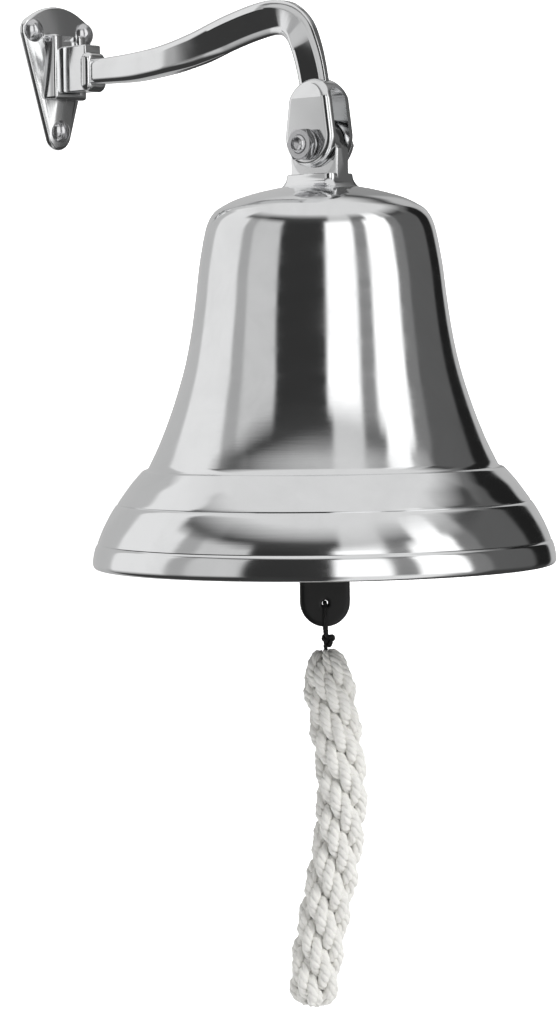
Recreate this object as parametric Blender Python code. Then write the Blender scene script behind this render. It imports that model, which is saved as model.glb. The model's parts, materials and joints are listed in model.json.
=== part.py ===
"""A wall-hung ship bell on a gooseneck bracket, with its clapper, tie cord and bell rope.

Metres, +Z up. The origin is the centre of the wall plate's back face, the wall is the plane Y = 0
and the bell hangs in front of it, at -Y. The plane X = 0 halves the bracket.
"""

import math

import bmesh
import bpy
from mathutils import Matrix, Vector

MM = 0.001
GAP = 0.3 * MM                       # left between two pieces that rest on each other

# ---- wall plate and its socket
PLATE_THICK = 4.0 * MM
PLATE_EDGE = 1.2 * MM                # bevel round the front edge
PLATE_TOP = 33.5 * MM                # crown of the arched top
PLATE_ARCH_R = 30.0 * MM
PLATE_TIP = -33.5 * MM               # lowest point
PLATE_TIP_R = 7.5 * MM
PLATE_EAR_R = 6.4 * MM               # round corner about each upper screw
SCREW_SPREAD = 32.0 * MM             # between the two upper screws
SCREW_UPPER_Z = 21.5 * MM
SCREW_LOWER_Z = -24.8 * MM
SCREW_SHANK_D = 4.2 * MM
SCREW_HEAD_D = 10.6 * MM
SCREW_HEAD_RISE = 3.2 * MM
SCREW_LENGTH = 25.0 * MM             # under the head
SCREW_POINT = 7.0 * MM
SCREW_HOLE_GAP = 0.35 * MM           # all round the shank
BOSS_WIDTH = 20.6 * MM
BOSS_DEPTH = 6.6 * MM                # out from the plate's face
BOSS_BOTTOM = -10.4 * MM
BOSS_TOP = 19.9 * MM
BOSS_EDGE = 1.0 * MM
LIP_THICK = 2.3 * MM                 # of the two lips that hold the tongue
SOCKET_FLOOR = 2.6 * MM              # metal under the tongue
TONGUE_WIDTH = 14.4 * MM
TONGUE_TOP = 17.0 * MM
SLIDE_GAP = 0.3 * MM                 # all round the tongue and the neck

# ---- bracket arm
NECK_WIDTH = 10.4 * MM
NECK_HEIGHT = 21.6 * MM
NECK_OUT = 25.5 * MM                 # from the wall to the neck's end
NECK_EDGE = 0.9 * MM
COLLAR_WIDTH = 13.4 * MM
COLLAR_HEIGHT = 18.4 * MM
COLLAR_THICK = 6.0 * MM
ARM_ROOT_Z = 1.4 * MM                # height of the arm's axis at the neck
REACH = 167.5 * MM                   # from the wall to the pivot bolt
PIVOT_DROP = 40.0 * MM               # pivot bolt below the plate's centre
BEND_RISE = 17.2 * MM                # top of the arm's axis above the plate's centre
BEND_RADIUS = 19.5 * MM              # of the gooseneck, on its axis
ARM_SIDES = 16
ARM_STATIONS = 28

# ---- fork at the arm's end, and the pivot bolt
EAR_R = 13.8 * MM
EAR_CENTRE = 4.0 * MM                # the round end's centre above the bolt
EAR_TOP_R = 11.8 * MM
EAR_TOP_CENTRE = 17.0 * MM
EAR_THICK = 3.9 * MM
EAR_EDGE = 1.0 * MM
LUG_THICK = 7.8 * MM
LUG_SIDE_GAP = 0.4 * MM
SLOT_TOP = 24.5 * MM                 # crown of the slot above the bolt
BOLT_D = 8.0 * MM
BOLT_HOLE_GAP = 0.35 * MM            # all round the bolt, in the ears and the lug
HEX_RIM = 2.5 * MM                   # metal between a thread and the hexagon's flats
NUT_THICK = 3.4 * MM
HEAD_THICK = 5.0 * MM
WASHER_RIM = 2.7 * MM                # of a washer outside its bolt
WASHER_THICK = 1.1 * MM
BOLT_PROUD = 1.6 * MM                # thread past the nut

# ---- bell
LIP_R = 101.4 * MM                   # half the mouth's outside diameter
BELL_HEIGHT = 166.0 * MM             # mouth plane to the crown
CROWN_DROP = 17.0 * MM               # crown below the pivot bolt
SHOULDER_R = 47.8 * MM
WAIST_WALL = 4.6 * MM
BOW_WALL = 7.0 * MM                  # sound bow, where the clapper strikes
LIP_WALL = 4.3 * MM
CROWN_WALL = 8.2 * MM                # at the middle, under the crown block
BELL_SIDES = 44
LUG_WIDTH = 24.4 * MM
LUG_TOP_R = 11.6 * MM
HEAD_TOP = 12.6 * MM                 # flat of the crown block below the bolt
HEAD_LONG = 27.0 * MM
HEAD_WIDE = 16.8 * MM
HEAD_FOOT_LONG = 40.0 * MM
HEAD_FOOT_WIDE = 31.0 * MM

# ---- clapper and what it hangs from
FACING = math.radians(-45.0)         # the clapper's flat tail looks this way from -Y, about Z
EYE_SHANK_D = 6.0 * MM
EYE_SHANK_IN = 10.4 * MM             # thread up into the crown block
PAD_WASHER_RIM = 4.5 * MM
EYE_RING_R = 7.5 * MM                # on the bar's axis
EYE_BAR_R = 2.25 * MM
EYE_STEM = 2.0 * MM                  # from the lock nut down to the ring
LOCK_NUT_THICK = 4.8 * MM
LINK_BAR_R = 1.9 * MM
LINK_PLAY = 1.65 * MM                # between the eye bolt's bar and the clapper's own eye
CLAPPER_EYE_BAR_R = 2.25 * MM
CLAPPER_TIP = -27.3 * MM             # below the mouth plane
BALL_R = 17.5 * MM
BALL_Z = 22.0 * MM                   # above the mouth plane
SHANK_TOP_R = 4.2 * MM
SHANK_LOW_R = 6.2 * MM
TAIL_WIDTH = 22.0 * MM
TAIL_THICK = 7.0 * MM
TAIL_HOLE_GAP = 2.3 * MM             # all round the tie cord
TAIL_HOLE_UP = 10.4 * MM             # hole's centre above the tail's tip

# ---- tie cord and bell rope
TIE_D = 1.8 * MM
TIE_CLEAR = 1.0 * MM                 # between each leg and the tail's face
TIE_JOIN_DROP = 5.4 * MM             # where the two legs meet, below the tail's tip
TIE_DROP = 20.4 * MM                 # from the hole to the end at the rope's eye
ROPE_GAP = 0.6 * MM                  # between the tie cord's end and the rope
ROPE_D = 23.4 * MM
ROPE_LENGTH = 155.0 * MM
# how far the rope's axis bows sideways, and how far down it that is, as shares of its length
ROPE_BOW = [(0.00, 0.000), (0.10, 0.010), (0.22, 0.026), (0.38, 0.042), (0.55, 0.028),
            (0.72, 0.000), (0.86, -0.022), (1.00, -0.036)]

# ---- places that follow from the sizes above
EAR_OUT = LUG_THICK / 2 + LUG_SIDE_GAP + EAR_THICK
MOUTH_DROP = BELL_HEIGHT + CROWN_DROP
PIVOT = Vector((0.0, -REACH, -PIVOT_DROP))
MOUTH = PIVOT - Vector((0.0, 0.0, MOUTH_DROP))
# heights above the mouth plane: the flat inside the crown, the eye bolt's lowest bar, on which
# the link swings, and the link's lowest bar, on which the clapper swings
PAD_Z = BELL_HEIGHT - CROWN_WALL
EYE_A = PAD_Z - GAP - WASHER_THICK - GAP - LOCK_NUT_THICK - 2 * EYE_RING_R - EYE_STEM
EYE_BEND = LINK_BAR_R + CLAPPER_EYE_BAR_R + GAP
EYE_B = EYE_A - EYE_BAR_R - LINK_PLAY - EYE_BEND - CLAPPER_EYE_BAR_R
TIE_OFF = TAIL_THICK / 2 + TIE_CLEAR + TIE_D / 2


# ------------------------------------------------------------------ helpers

def clear_scene():
    for thing in list(bpy.data.objects):
        bpy.data.objects.remove(thing, do_unlink=True)


def material(name, colour, roughness, metallic):
    made = bpy.data.materials.new(name)
    made.use_nodes = True
    shader = made.node_tree.nodes["Principled BSDF"]
    shader.inputs["Base Color"].default_value = (*colour, 1.0)
    shader.inputs["Roughness"].default_value = roughness
    shader.inputs["Metallic"].default_value = metallic
    return made


def finish_mesh(name, bm, finish=None, angle=35.0):
    """Turns a bmesh into an object, with its faces outwards and its round faces smooth."""
    bmesh.ops.remove_doubles(bm, verts=bm.verts, dist=1e-7)
    bmesh.ops.recalc_face_normals(bm, faces=bm.faces)
    mesh = bpy.data.meshes.new(name)
    bm.to_mesh(mesh)
    bm.free()
    mesh.shade_smooth()
    mesh.set_sharp_from_angle(angle=math.radians(angle))
    thing = bpy.data.objects.new(name, mesh)
    bpy.context.collection.objects.link(thing)
    if finish:
        mesh.materials.append(finish)
    return thing


def combine(thing, tool, operation):
    """Joins tool to thing, or cuts it away, and leaves tool in the scene as a guide."""
    step = thing.modifiers.new(operation.title() + "_" + tool.name, "BOOLEAN")
    step.operation = operation
    step.solver = "EXACT"
    step.object = tool
    tool.hide_render = True
    tool.display_type = "WIRE"


def place_origin(thing, point):
    """Moves an object's origin to a world point without moving its mesh."""
    thing.data.transform(Matrix.Translation(-Vector(point)))
    thing.location = point


def outline_prism(name, outline, low, high, axis, finish=None, edge=0.0, both=True, segments=2):
    """Extrudes a closed outline of (a, b) points from low to high along X, Y or Z."""
    def at(a, b, c):
        return {"X": (c, a, b), "Y": (a, c, b), "Z": (a, b, c)}[axis]

    bm = bmesh.new()
    low_ring = [bm.verts.new(at(a, b, low)) for a, b in outline]
    high_ring = [bm.verts.new(at(a, b, high)) for a, b in outline]
    count = len(outline)
    bm.faces.new(low_ring)
    bm.faces.new(high_ring)
    for i in range(count):
        j = (i + 1) % count
        bm.faces.new((low_ring[i], low_ring[j], high_ring[j], high_ring[i]))
    bmesh.ops.recalc_face_normals(bm, faces=bm.faces)
    if edge:
        rims = [low_ring, high_ring] if both else [low_ring]
        rim_edges = [e for e in bm.edges if any(all(v in r for v in e.verts) for r in rims)]
        bmesh.ops.bevel(bm, geom=rim_edges, offset=edge, segments=segments, profile=0.5,
                        affect="EDGES", clamp_overlap=True)
    return finish_mesh(name, bm, finish)


def turned(name, profile, sides, finish=None, angle=35.0):
    """Turns (radius, height) points about Z. A radius of nought closes the end in a point."""
    bm = bmesh.new()
    rings = []
    for radius, height in profile:
        if radius < 1e-9:
            rings.append([bm.verts.new((0.0, 0.0, height))])
            continue
        ring = []
        for i in range(sides):
            turn = 2 * math.pi * i / sides
            ring.append(bm.verts.new((radius * math.cos(turn), radius * math.sin(turn), height)))
        rings.append(ring)
    for upper, lower in zip(rings, rings[1:]):
        for i in range(sides):
            j = (i + 1) % sides
            corners = [upper[i % len(upper)], upper[j % len(upper)],
                       lower[j % len(lower)], lower[i % len(lower)]]
            corners = [c for k, c in enumerate(corners) if c not in corners[:k]]
            if len(corners) > 2:
                bm.faces.new(corners)
    for ring in (rings[0], rings[-1]):
        if len(ring) > 1:
            bm.faces.new(ring)
    return finish_mesh(name, bm, finish, angle)


def convex(points):
    """The convex outline round some (a, b) points, anticlockwise."""
    points = sorted(set((round(a, 7), round(b, 7)) for a, b in points))

    def half(run):
        chain = []
        for p in run:
            while len(chain) > 1:
                (ax, ay), (bx, by) = chain[-2], chain[-1]
                if (bx - ax) * (p[1] - ay) - (by - ay) * (p[0] - ax) > 1e-12:
                    break
                chain.pop()
            chain.append(p)
        return chain[:-1]

    return half(points) + half(points[::-1])


def circle(radius, centre=(0.0, 0.0), count=24, start=0.0, turn=2 * math.pi):
    """Points on a circle, or on a part of one when turn is less than a whole turn."""
    steps = count if turn >= 2 * math.pi else count - 1
    return [(centre[0] + radius * math.cos(start + turn * i / steps),
             centre[1] + radius * math.sin(start + turn * i / steps)) for i in range(count)]


def rectangle(width, low, high):
    return [(-width / 2, low), (width / 2, low), (width / 2, high), (-width / 2, high)]


def smooth_run(points, pieces):
    """A Catmull-Rom run through 2-D or 3-D points, with pieces steps between each pair."""
    points = [Vector(p) for p in points]
    ends = [points[0] * 2 - points[1]] + points + [points[-1] * 2 - points[-2]]
    run = []
    for a, b, c, d in zip(ends, ends[1:], ends[2:], ends[3:]):
        for i in range(pieces):
            t = i / pieces
            run.append(0.5 * (2 * b + (c - a) * t + (2 * a - 5 * b + 4 * c - d) * t ** 2
                              + (3 * b - a - 3 * c + d) * t ** 3))
    return run + [points[-1]]


def even_run(points, count):
    """The same run as count points, evenly spaced along it."""
    lengths = [0.0]
    for a, b in zip(points, points[1:]):
        lengths.append(lengths[-1] + (b - a).length)
    run = []
    at = 0
    for i in range(count):
        want = lengths[-1] * i / (count - 1)
        while at < len(lengths) - 2 and lengths[at + 1] < want:
            at += 1
        share = (want - lengths[at]) / max(lengths[at + 1] - lengths[at], 1e-12)
        run.append(points[at].lerp(points[at + 1], min(max(share, 0.0), 1.0)))
    return run


def ring_tube(name, path, radius, sides, finish=None):
    """A round bar along a closed path of points."""
    bm = bmesh.new()
    count = len(path)
    normal = sum(((path[i] - path[0]).cross(path[i + 1] - path[0]) for i in range(count - 1)),
                 Vector()).normalized()
    rings = []
    for i in range(count):
        along = (path[(i + 1) % count] - path[i - 1]).normalized()
        out = along.cross(normal)
        ring = []
        for k in range(sides):
            turn = 2 * math.pi * k / sides
            ring.append(bm.verts.new(path[i] + radius * (math.cos(turn) * out
                                                         + math.sin(turn) * normal)))
        rings.append(ring)
    for i in range(count):
        after = rings[(i + 1) % count]
        for k in range(sides):
            m = (k + 1) % sides
            bm.faces.new((rings[i][k], rings[i][m], after[m], after[k]))
    return finish_mesh(name, bm, finish, 60.0)


def turn_to_face(thing):
    """Turns a clapper piece, made looking along -Y about its own Z, to the way the tail looks."""
    thing.data.transform(Matrix.Rotation(FACING, 4, "Z"))


def move_mesh(thing, offset):
    thing.data.transform(Matrix.Translation(Vector(offset)))


def cord_curve(name, points, radius, scales, resolution, finish):
    """A cord as a bevelled poly curve, with a share of its radius at each point."""
    data = bpy.data.curves.new(name, "CURVE")
    data.dimensions = "3D"
    data.bevel_depth = radius
    data.bevel_resolution = resolution
    data.use_fill_caps = True
    spline = data.splines.new("POLY")
    spline.points.add(len(points) - 1)
    for point, place, scale in zip(spline.points, points, scales):
        point.co = (*place, 1.0)
        point.radius = scale
    data.materials.append(finish)
    thing = bpy.data.objects.new(name, data)
    bpy.context.collection.objects.link(thing)
    return thing


# ------------------------------------------------------------------ wall plate

def plate_outline():
    """An arched top over two screw corners, drawn down to a rounded point."""
    arch_turn = math.asin(min(SCREW_SPREAD / 2 / PLATE_ARCH_R, 1.0))
    arch = circle(PLATE_ARCH_R, (0.0, PLATE_TOP - PLATE_ARCH_R), 13,
                  math.pi / 2 - arch_turn, 2 * arch_turn)
    corners = [p for side in (-1, 1)
               for p in circle(PLATE_EAR_R, (side * SCREW_SPREAD / 2, SCREW_UPPER_Z), 24)]
    return convex(arch + corners + circle(PLATE_TIP_R, (0.0, PLATE_TIP + PLATE_TIP_R), 24))


def screw_places():
    return {"wall_screw_left": (-SCREW_SPREAD / 2, SCREW_UPPER_Z),
            "wall_screw_right": (SCREW_SPREAD / 2, SCREW_UPPER_Z),
            "wall_screw_lower": (0.0, SCREW_LOWER_Z)}


def wall_plate(finish):
    plate = outline_prism("wall_plate", plate_outline(), -PLATE_THICK, 0.0, "Y", finish,
                          PLATE_EDGE, both=False)
    face = -PLATE_THICK
    boss = outline_prism("boss_guide", rectangle(BOSS_WIDTH, BOSS_BOTTOM, BOSS_TOP),
                         face - BOSS_DEPTH, face + PLATE_THICK / 2, "Y", None, BOSS_EDGE,
                         both=False)
    combine(plate, boss, "UNION")
    floor = BOSS_BOTTOM + SOCKET_FLOOR
    above = BOSS_TOP + 2 * MM
    pocket = outline_prism("pocket_cutter",
                           rectangle(TONGUE_WIDTH + 2 * SLIDE_GAP, floor, above),
                           face - BOSS_DEPTH + LIP_THICK, face, "Y")
    mouth = outline_prism("mouth_cutter",
                          rectangle(NECK_WIDTH + 2 * SLIDE_GAP, floor, above),
                          face - BOSS_DEPTH - 2 * MM, face - 0.1 * MM, "Y")
    combine(plate, pocket, "DIFFERENCE")
    combine(plate, mouth, "DIFFERENCE")
    for name, (x, z) in screw_places().items():
        hole = outline_prism(name + "_cutter", circle(SCREW_SHANK_D / 2 + SCREW_HOLE_GAP, (x, z), 16),
                             -2 * PLATE_THICK, PLATE_THICK, "Y")
        combine(plate, hole, "DIFFERENCE")
    return plate


def wall_screw(name, place, finish):
    """A domed-head wood screw, driven through the plate into the wall."""
    head = SCREW_HEAD_D / 2
    shank = SCREW_SHANK_D / 2
    sphere = (head ** 2 + SCREW_HEAD_RISE ** 2) / (2 * SCREW_HEAD_RISE)
    dome = []
    for i in range(5):
        radius = head * i / 4
        drop = sphere - math.sqrt(sphere ** 2 - radius ** 2)
        dome.append((radius, SCREW_HEAD_RISE + 0.5 * MM - drop))
    profile = dome + [(head, 0.0), (shank, 0.0), (shank, SCREW_POINT - SCREW_LENGTH),
                      (0.0, -SCREW_LENGTH)]
    screw = turned(name, profile, 20, finish)
    screw.data.transform(Matrix.Rotation(math.radians(90.0), 4, "X"))
    slot = outline_prism(name + "_slot_cutter", rectangle(1.2 * MM, -head, head),
                         -SCREW_HEAD_RISE * 2, -SCREW_HEAD_RISE + 0.9 * MM, "Y")
    combine(screw, slot, "DIFFERENCE")
    at = (place[0], -PLATE_THICK - GAP, place[1])
    screw.location = at
    slot.location = at
    return screw


# ------------------------------------------------------------------ bracket arm

def arm_axis():
    """The arm's axis from the collar, along and up, over the gooseneck and down to the fork."""
    start = NECK_OUT + COLLAR_THICK / 2
    bend_y = REACH - BEND_RADIUS - 5.0 * MM
    bend_z = BEND_RISE - BEND_RADIUS
    run = bend_y - start
    low = ARM_ROOT_Z
    rise = BEND_RISE - ARM_ROOT_Z
    swan = [(start, low), (start + 0.10 * run, low), (start + 0.24 * run, low + 0.02 * rise),
            (start + 0.42 * run, low + 0.14 * rise), (start + 0.60 * run, low + 0.38 * rise),
            (start + 0.78 * run, low + 0.73 * rise), (start + 0.91 * run, low + 0.93 * rise)]
    bend = [(bend_y + BEND_RADIUS * math.sin(turn), bend_z + BEND_RADIUS * math.cos(turn))
            for turn in (math.radians(a) for a in (2, 26, 50, 74))]
    fork_top = -PIVOT_DROP + EAR_TOP_CENTRE
    down = [(REACH - 1.6 * MM, fork_top + 12.0 * MM), (REACH, fork_top)]
    return even_run(smooth_run(swan + bend + down, 8), ARM_STATIONS)


def arm_section(share):
    """The bar's depth in the arm's plane, its width across it, and how square it is."""
    depths = [(0.0, 12.0), (0.2, 13.4), (0.5, 15.4), (0.68, 15.2), (0.82, 13.6), (0.93, 12.9),
              (1.0, 13.6)]
    widths = [(0.0, 8.6), (0.2, 9.6), (0.5, 12.0), (0.68, 13.0), (0.93, 12.6), (1.0, 13.6)]
    square = [(0.0, 3.6), (0.35, 2.8), (0.7, 2.1), (1.0, 2.1)]

    def read(table):
        for (a, low), (b, high) in zip(table, table[1:]):
            if share <= b:
                t = (share - a) / (b - a)
                t = t * t * (3 - 2 * t)
                return low + (high - low) * t
        return table[-1][1]

    return read(depths) * MM, read(widths) * MM, read(square)


def arm_bar(finish):
    axis = arm_axis()
    bm = bmesh.new()
    rings = []
    for i, point in enumerate(axis):
        ahead = axis[min(i + 1, len(axis) - 1)] - axis[max(i - 1, 0)]
        ahead.normalize()
        out = Vector((-ahead.y, ahead.x))
        depth, width, power = arm_section(i / (len(axis) - 1))
        ring = []
        for k in range(ARM_SIDES):
            turn = 2 * math.pi * k / ARM_SIDES
            c, s = math.cos(turn), math.sin(turn)
            across = math.copysign(abs(c) ** (2 / power), c) * width / 2
            up = math.copysign(abs(s) ** (2 / power), s) * depth / 2
            ring.append(bm.verts.new((across, -(point.x + out.x * up), point.y + out.y * up)))
        rings.append(ring)
    for a, b in zip(rings, rings[1:]):
        for k in range(ARM_SIDES):
            m = (k + 1) % ARM_SIDES
            bm.faces.new((a[k], a[m], b[m], b[k]))
    bm.faces.new(rings[0])
    bm.faces.new(rings[-1])
    return finish_mesh("bracket_arm", bm, finish, 50.0)


def collar_guide():
    """A bead round the arm's root, fullest at its middle."""
    bm = bmesh.new()
    rings = []
    for i in range(7):
        lean = math.radians(-90 + 30 * i)
        full = 0.62 + 0.38 * math.cos(lean)
        out = NECK_OUT + COLLAR_THICK / 2 * math.sin(lean)
        ring = []
        for k in range(24):
            turn = 2 * math.pi * k / 24
            c, s = math.cos(turn), math.sin(turn)
            x = math.copysign(abs(c) ** 0.5, c) * COLLAR_WIDTH / 2 * full
            z = math.copysign(abs(s) ** 0.5, s) * COLLAR_HEIGHT / 2 * full
            ring.append(bm.verts.new((x, -out, ARM_ROOT_Z + z)))
        rings.append(ring)
    for a, b in zip(rings, rings[1:]):
        for k in range(24):
            m = (k + 1) % 24
            bm.faces.new((a[k], a[m], b[m], b[k]))
    bm.faces.new(rings[0])
    bm.faces.new(rings[-1])
    return finish_mesh("collar_guide", bm)


def ear_outline():
    low = circle(EAR_R, (-REACH, -PIVOT_DROP + EAR_CENTRE), 32)
    high = circle(EAR_TOP_R, (-REACH, -PIVOT_DROP + EAR_TOP_CENTRE), 32)
    return convex(low + high)


def bracket_arm(finish):
    arm = arm_bar(finish)
    combine(arm, collar_guide(), "UNION")
    floor = BOSS_BOTTOM + SOCKET_FLOOR + GAP
    neck = outline_prism("neck_guide", rectangle(NECK_WIDTH, floor, floor + NECK_HEIGHT),
                         -NECK_OUT, -PLATE_THICK - 1.5 * MM, "Y", None, NECK_EDGE, both=False)
    combine(arm, neck, "UNION")
    tongue_face = -PLATE_THICK - BOSS_DEPTH + LIP_THICK + SLIDE_GAP
    tongue = outline_prism("tongue_guide", rectangle(TONGUE_WIDTH, floor, TONGUE_TOP),
                           tongue_face, -PLATE_THICK - SLIDE_GAP, "Y")
    combine(arm, tongue, "UNION")
    fork = outline_prism("fork_guide", ear_outline(), -EAR_OUT, EAR_OUT, "X", None, EAR_EDGE)
    combine(arm, fork, "UNION")
    half = LUG_THICK / 2 + LUG_SIDE_GAP
    crown = -PIVOT_DROP + SLOT_TOP - half
    arch = circle(half, (0.0, crown), 13, 0.0, math.pi)
    slot_outline = arch + [(-half, -PIVOT_DROP - 2 * EAR_R), (half, -PIVOT_DROP - 2 * EAR_R)]
    slot = outline_prism("slot_cutter", slot_outline, -REACH - 2 * EAR_R, -REACH + 2 * EAR_R, "Y")
    combine(arm, slot, "DIFFERENCE")
    hole = outline_prism("fork_hole_cutter", circle(BOLT_D / 2 + BOLT_HOLE_GAP, (-REACH, -PIVOT_DROP), 20),
                         -2 * EAR_OUT, 2 * EAR_OUT, "X")
    combine(arm, hole, "DIFFERENCE")
    return arm


def hexagon(flats):
    return circle(flats / 2 / math.cos(math.pi / 6), (0.0, 0.0), 6, 0.0)


def holed_disc(name, outline, bore, low, high, axis, finish, edge=0.0):
    disc = outline_prism(name, outline, low, high, axis, finish, edge, segments=1)
    cutter = outline_prism(name + "_bore_cutter", circle(bore / 2, (0.0, 0.0), 20),
                           low - 2 * MM, high + 2 * MM, axis)
    combine(disc, cutter, "DIFFERENCE")
    return disc, cutter


def pivot_pieces(finish):
    """The pivot bolt from the far side, its nut on the near side, and a washer under each."""
    washer_at = EAR_OUT + GAP
    seat = washer_at + WASHER_THICK + GAP
    near_end = seat + NUT_THICK + BOLT_PROUD
    shank = outline_prism("pivot_bolt", circle(BOLT_D / 2, (0.0, 0.0), 20), -near_end,
                          seat + HEAD_THICK / 2, "X", finish, 0.5 * MM, segments=1)
    head = outline_prism("bolt_head_guide", hexagon(BOLT_D + 2 * HEX_RIM), seat, seat + HEAD_THICK, "X",
                         None, 0.4 * MM, segments=1)
    combine(shank, head, "UNION")
    moved = [shank, head]
    moved += holed_disc("pivot_nut", hexagon(BOLT_D + 2 * HEX_RIM), BOLT_D + 2 * GAP,
                        -seat - NUT_THICK, -seat, "X", finish, 0.4 * MM)
    moved += holed_disc("pivot_washer_near", circle(BOLT_D / 2 + WASHER_RIM, count=24),
                        BOLT_D + 2 * GAP, -washer_at - WASHER_THICK, -washer_at, "X", finish)
    moved += holed_disc("pivot_washer_far", circle(BOLT_D / 2 + WASHER_RIM, count=24),
                        BOLT_D + 2 * GAP, washer_at, washer_at + WASHER_THICK, "X", finish)
    for thing in moved:
        thing.location = PIVOT


# ------------------------------------------------------------------ bell

def flare(share):
    """A radius between the shoulder's and the lip's."""
    return SHOULDER_R + (LIP_R - SHOULDER_R) * share


def outside_profile():
    """The bell's outside from the crown to the lip, as (radius, height above the mouth)."""
    top = BELL_HEIGHT
    crown = [(0.0, top), (0.29 * SHOULDER_R, top - 0.6 * MM), (0.50 * SHOULDER_R, top - 3.4 * MM),
             (0.75 * SHOULDER_R, top - 7.6 * MM), (SHOULDER_R - 4.6 * MM, top - 10.4 * MM),
             (SHOULDER_R - 1.4 * MM, top - 12.2 * MM), (SHOULDER_R + 0.4 * MM, top - 14.8 * MM)]
    waist = [(0.064, 0.870), (0.098, 0.790), (0.132, 0.700), (0.173, 0.610), (0.224, 0.530),
             (0.291, 0.455), (0.366, 0.385), (0.448, 0.320), (0.531, 0.263)]
    upper_bead = [(0.554, 0.253), (0.610, 0.244), (0.671, 0.229), (0.728, 0.198)]
    lower_bead = [(0.761, 0.170), (0.796, 0.164), (0.860, 0.145), (0.913, 0.108), (0.941, 0.069)]
    rim = [(0.937, 0.0635), (0.974, 0.058), (1.000, 0.030), (1.000, 0.012), (0.966, 0.0)]
    side = waist + upper_bead + lower_bead + rim
    return crown + [(flare(share), top * height) for share, height in side]


def inside_profile():
    """The bell's inside from the lip back up to the flat pad under the crown."""
    top = BELL_HEIGHT
    lip = [(LIP_R - LIP_WALL, 0.6 * MM), (LIP_R - LIP_WALL - 1.0 * MM, 3.0 * MM)]
    bow = [(flare(0.932) - BOW_WALL, 0.084 * top), (flare(0.775) - 0.9 * BOW_WALL, 0.163 * top)]
    side = [(flare(share) - WAIST_WALL, top * height) for share, height in
            ((0.600, 0.235), (0.489, 0.285), (0.357, 0.390), (0.224, 0.530), (0.137, 0.690),
             (0.092, 0.800))]
    inner = SHOULDER_R - WAIST_WALL
    crown = [(inner - 0.6 * MM, PAD_Z - 9.0 * MM), (inner - 5.0 * MM, PAD_Z - 5.2 * MM),
             (0.50 * SHOULDER_R, PAD_Z - 1.6 * MM), (0.29 * SHOULDER_R, PAD_Z), (0.0, PAD_Z)]
    return lip + bow + side + crown


def crown_block():
    """The block on the crown: a flat top as big as the fork, flaring down into the crown."""
    bm = bmesh.new()
    top = MOUTH_DROP - HEAD_TOP
    foot = BELL_HEIGHT - 5.0 * MM
    rings = []
    for i in range(7):
        t = i / 6
        flare = t ** 2.4
        long = HEAD_LONG + (HEAD_FOOT_LONG - HEAD_LONG) * flare
        wide = HEAD_WIDE + (HEAD_FOOT_WIDE - HEAD_WIDE) * flare
        z = top + (foot - top) * t
        ring = []
        for k in range(24):
            turn = 2 * math.pi * (k + 0.5) / 24
            c, s = math.cos(turn), math.sin(turn)
            ring.append(bm.verts.new((math.copysign(abs(c) ** 0.42, c) * wide / 2,
                                      math.copysign(abs(s) ** 0.42, s) * long / 2, z)))
        rings.append(ring)
    for a, b in zip(rings, rings[1:]):
        for k in range(24):
            m = (k + 1) % 24
            bm.faces.new((a[k], a[m], b[m], b[k]))
    bm.faces.new(rings[0])
    bm.faces.new(rings[-1])
    return finish_mesh("crown_block_guide", bm)


def bell(finish):
    shell = turned("bell", outside_profile() + inside_profile(), BELL_SIDES, finish)
    pieces = [shell, crown_block()]
    combine(shell, pieces[-1], "UNION")
    root = MOUTH_DROP - HEAD_TOP - 3.0 * MM
    lug_outline = convex(circle(LUG_TOP_R, (0.0, MOUTH_DROP), 32)
                         + [(side * LUG_WIDTH / 2, z) for side in (-1, 1)
                            for z in (root, MOUTH_DROP - 4.0 * MM)])
    pieces.append(outline_prism("lug_guide", lug_outline, -LUG_THICK / 2, LUG_THICK / 2, "X",
                                None, 0.5 * MM, segments=1))
    combine(shell, pieces[-1], "UNION")
    pieces.append(outline_prism("lug_hole_cutter", circle(BOLT_D / 2 + BOLT_HOLE_GAP, (0.0, MOUTH_DROP), 20),
                                -2 * EAR_OUT, 2 * EAR_OUT, "X"))
    combine(shell, pieces[-1], "DIFFERENCE")
    pieces.append(outline_prism("thread_cutter", circle(EYE_SHANK_D / 2 + GAP, count=16),
                                PAD_Z - 2 * MM, PAD_Z + EYE_SHANK_IN + GAP, "Z"))
    combine(shell, pieces[-1], "DIFFERENCE")
    for piece in pieces:
        move_mesh(piece, MOUTH)
    for piece in pieces:
        place_origin(piece, PIVOT)
    return shell


# ------------------------------------------------------------------ clapper

def clapper_hanger(finish):
    """The eye bolt screwed up into the crown block, with its washer and lock nut."""
    ring_z = EYE_A + EYE_RING_R
    ring = [Vector((EYE_RING_R * math.cos(a), 0.0, ring_z + EYE_RING_R * math.sin(a)))
            for a in (2 * math.pi * i / 28 for i in range(28))]
    eye = ring_tube("clapper_eye_bolt", ring, EYE_BAR_R, 12, finish)
    shank = outline_prism("eye_shank_guide", circle(EYE_SHANK_D / 2, count=16),
                          ring_z + EYE_RING_R - 0.8 * EYE_BAR_R, PAD_Z + EYE_SHANK_IN, "Z")
    washer_top = PAD_Z - GAP
    washer, washer_bore = holed_disc("crown_washer", circle(EYE_SHANK_D / 2 + PAD_WASHER_RIM, count=24),
                                     EYE_SHANK_D + 2 * GAP, washer_top - WASHER_THICK,
                                     washer_top, "Z", finish)
    nut_top = washer_top - WASHER_THICK - GAP
    nut, nut_bore = holed_disc("crown_lock_nut", hexagon(EYE_SHANK_D + 2 * HEX_RIM),
                               EYE_SHANK_D + 2 * GAP, nut_top - LOCK_NUT_THICK, nut_top, "Z", finish, 0.4 * MM)
    for thing in (eye, shank, washer, washer_bore, nut, nut_bore):
        turn_to_face(thing)
        move_mesh(thing, MOUTH)
    combine(eye, shank, "UNION")


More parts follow.
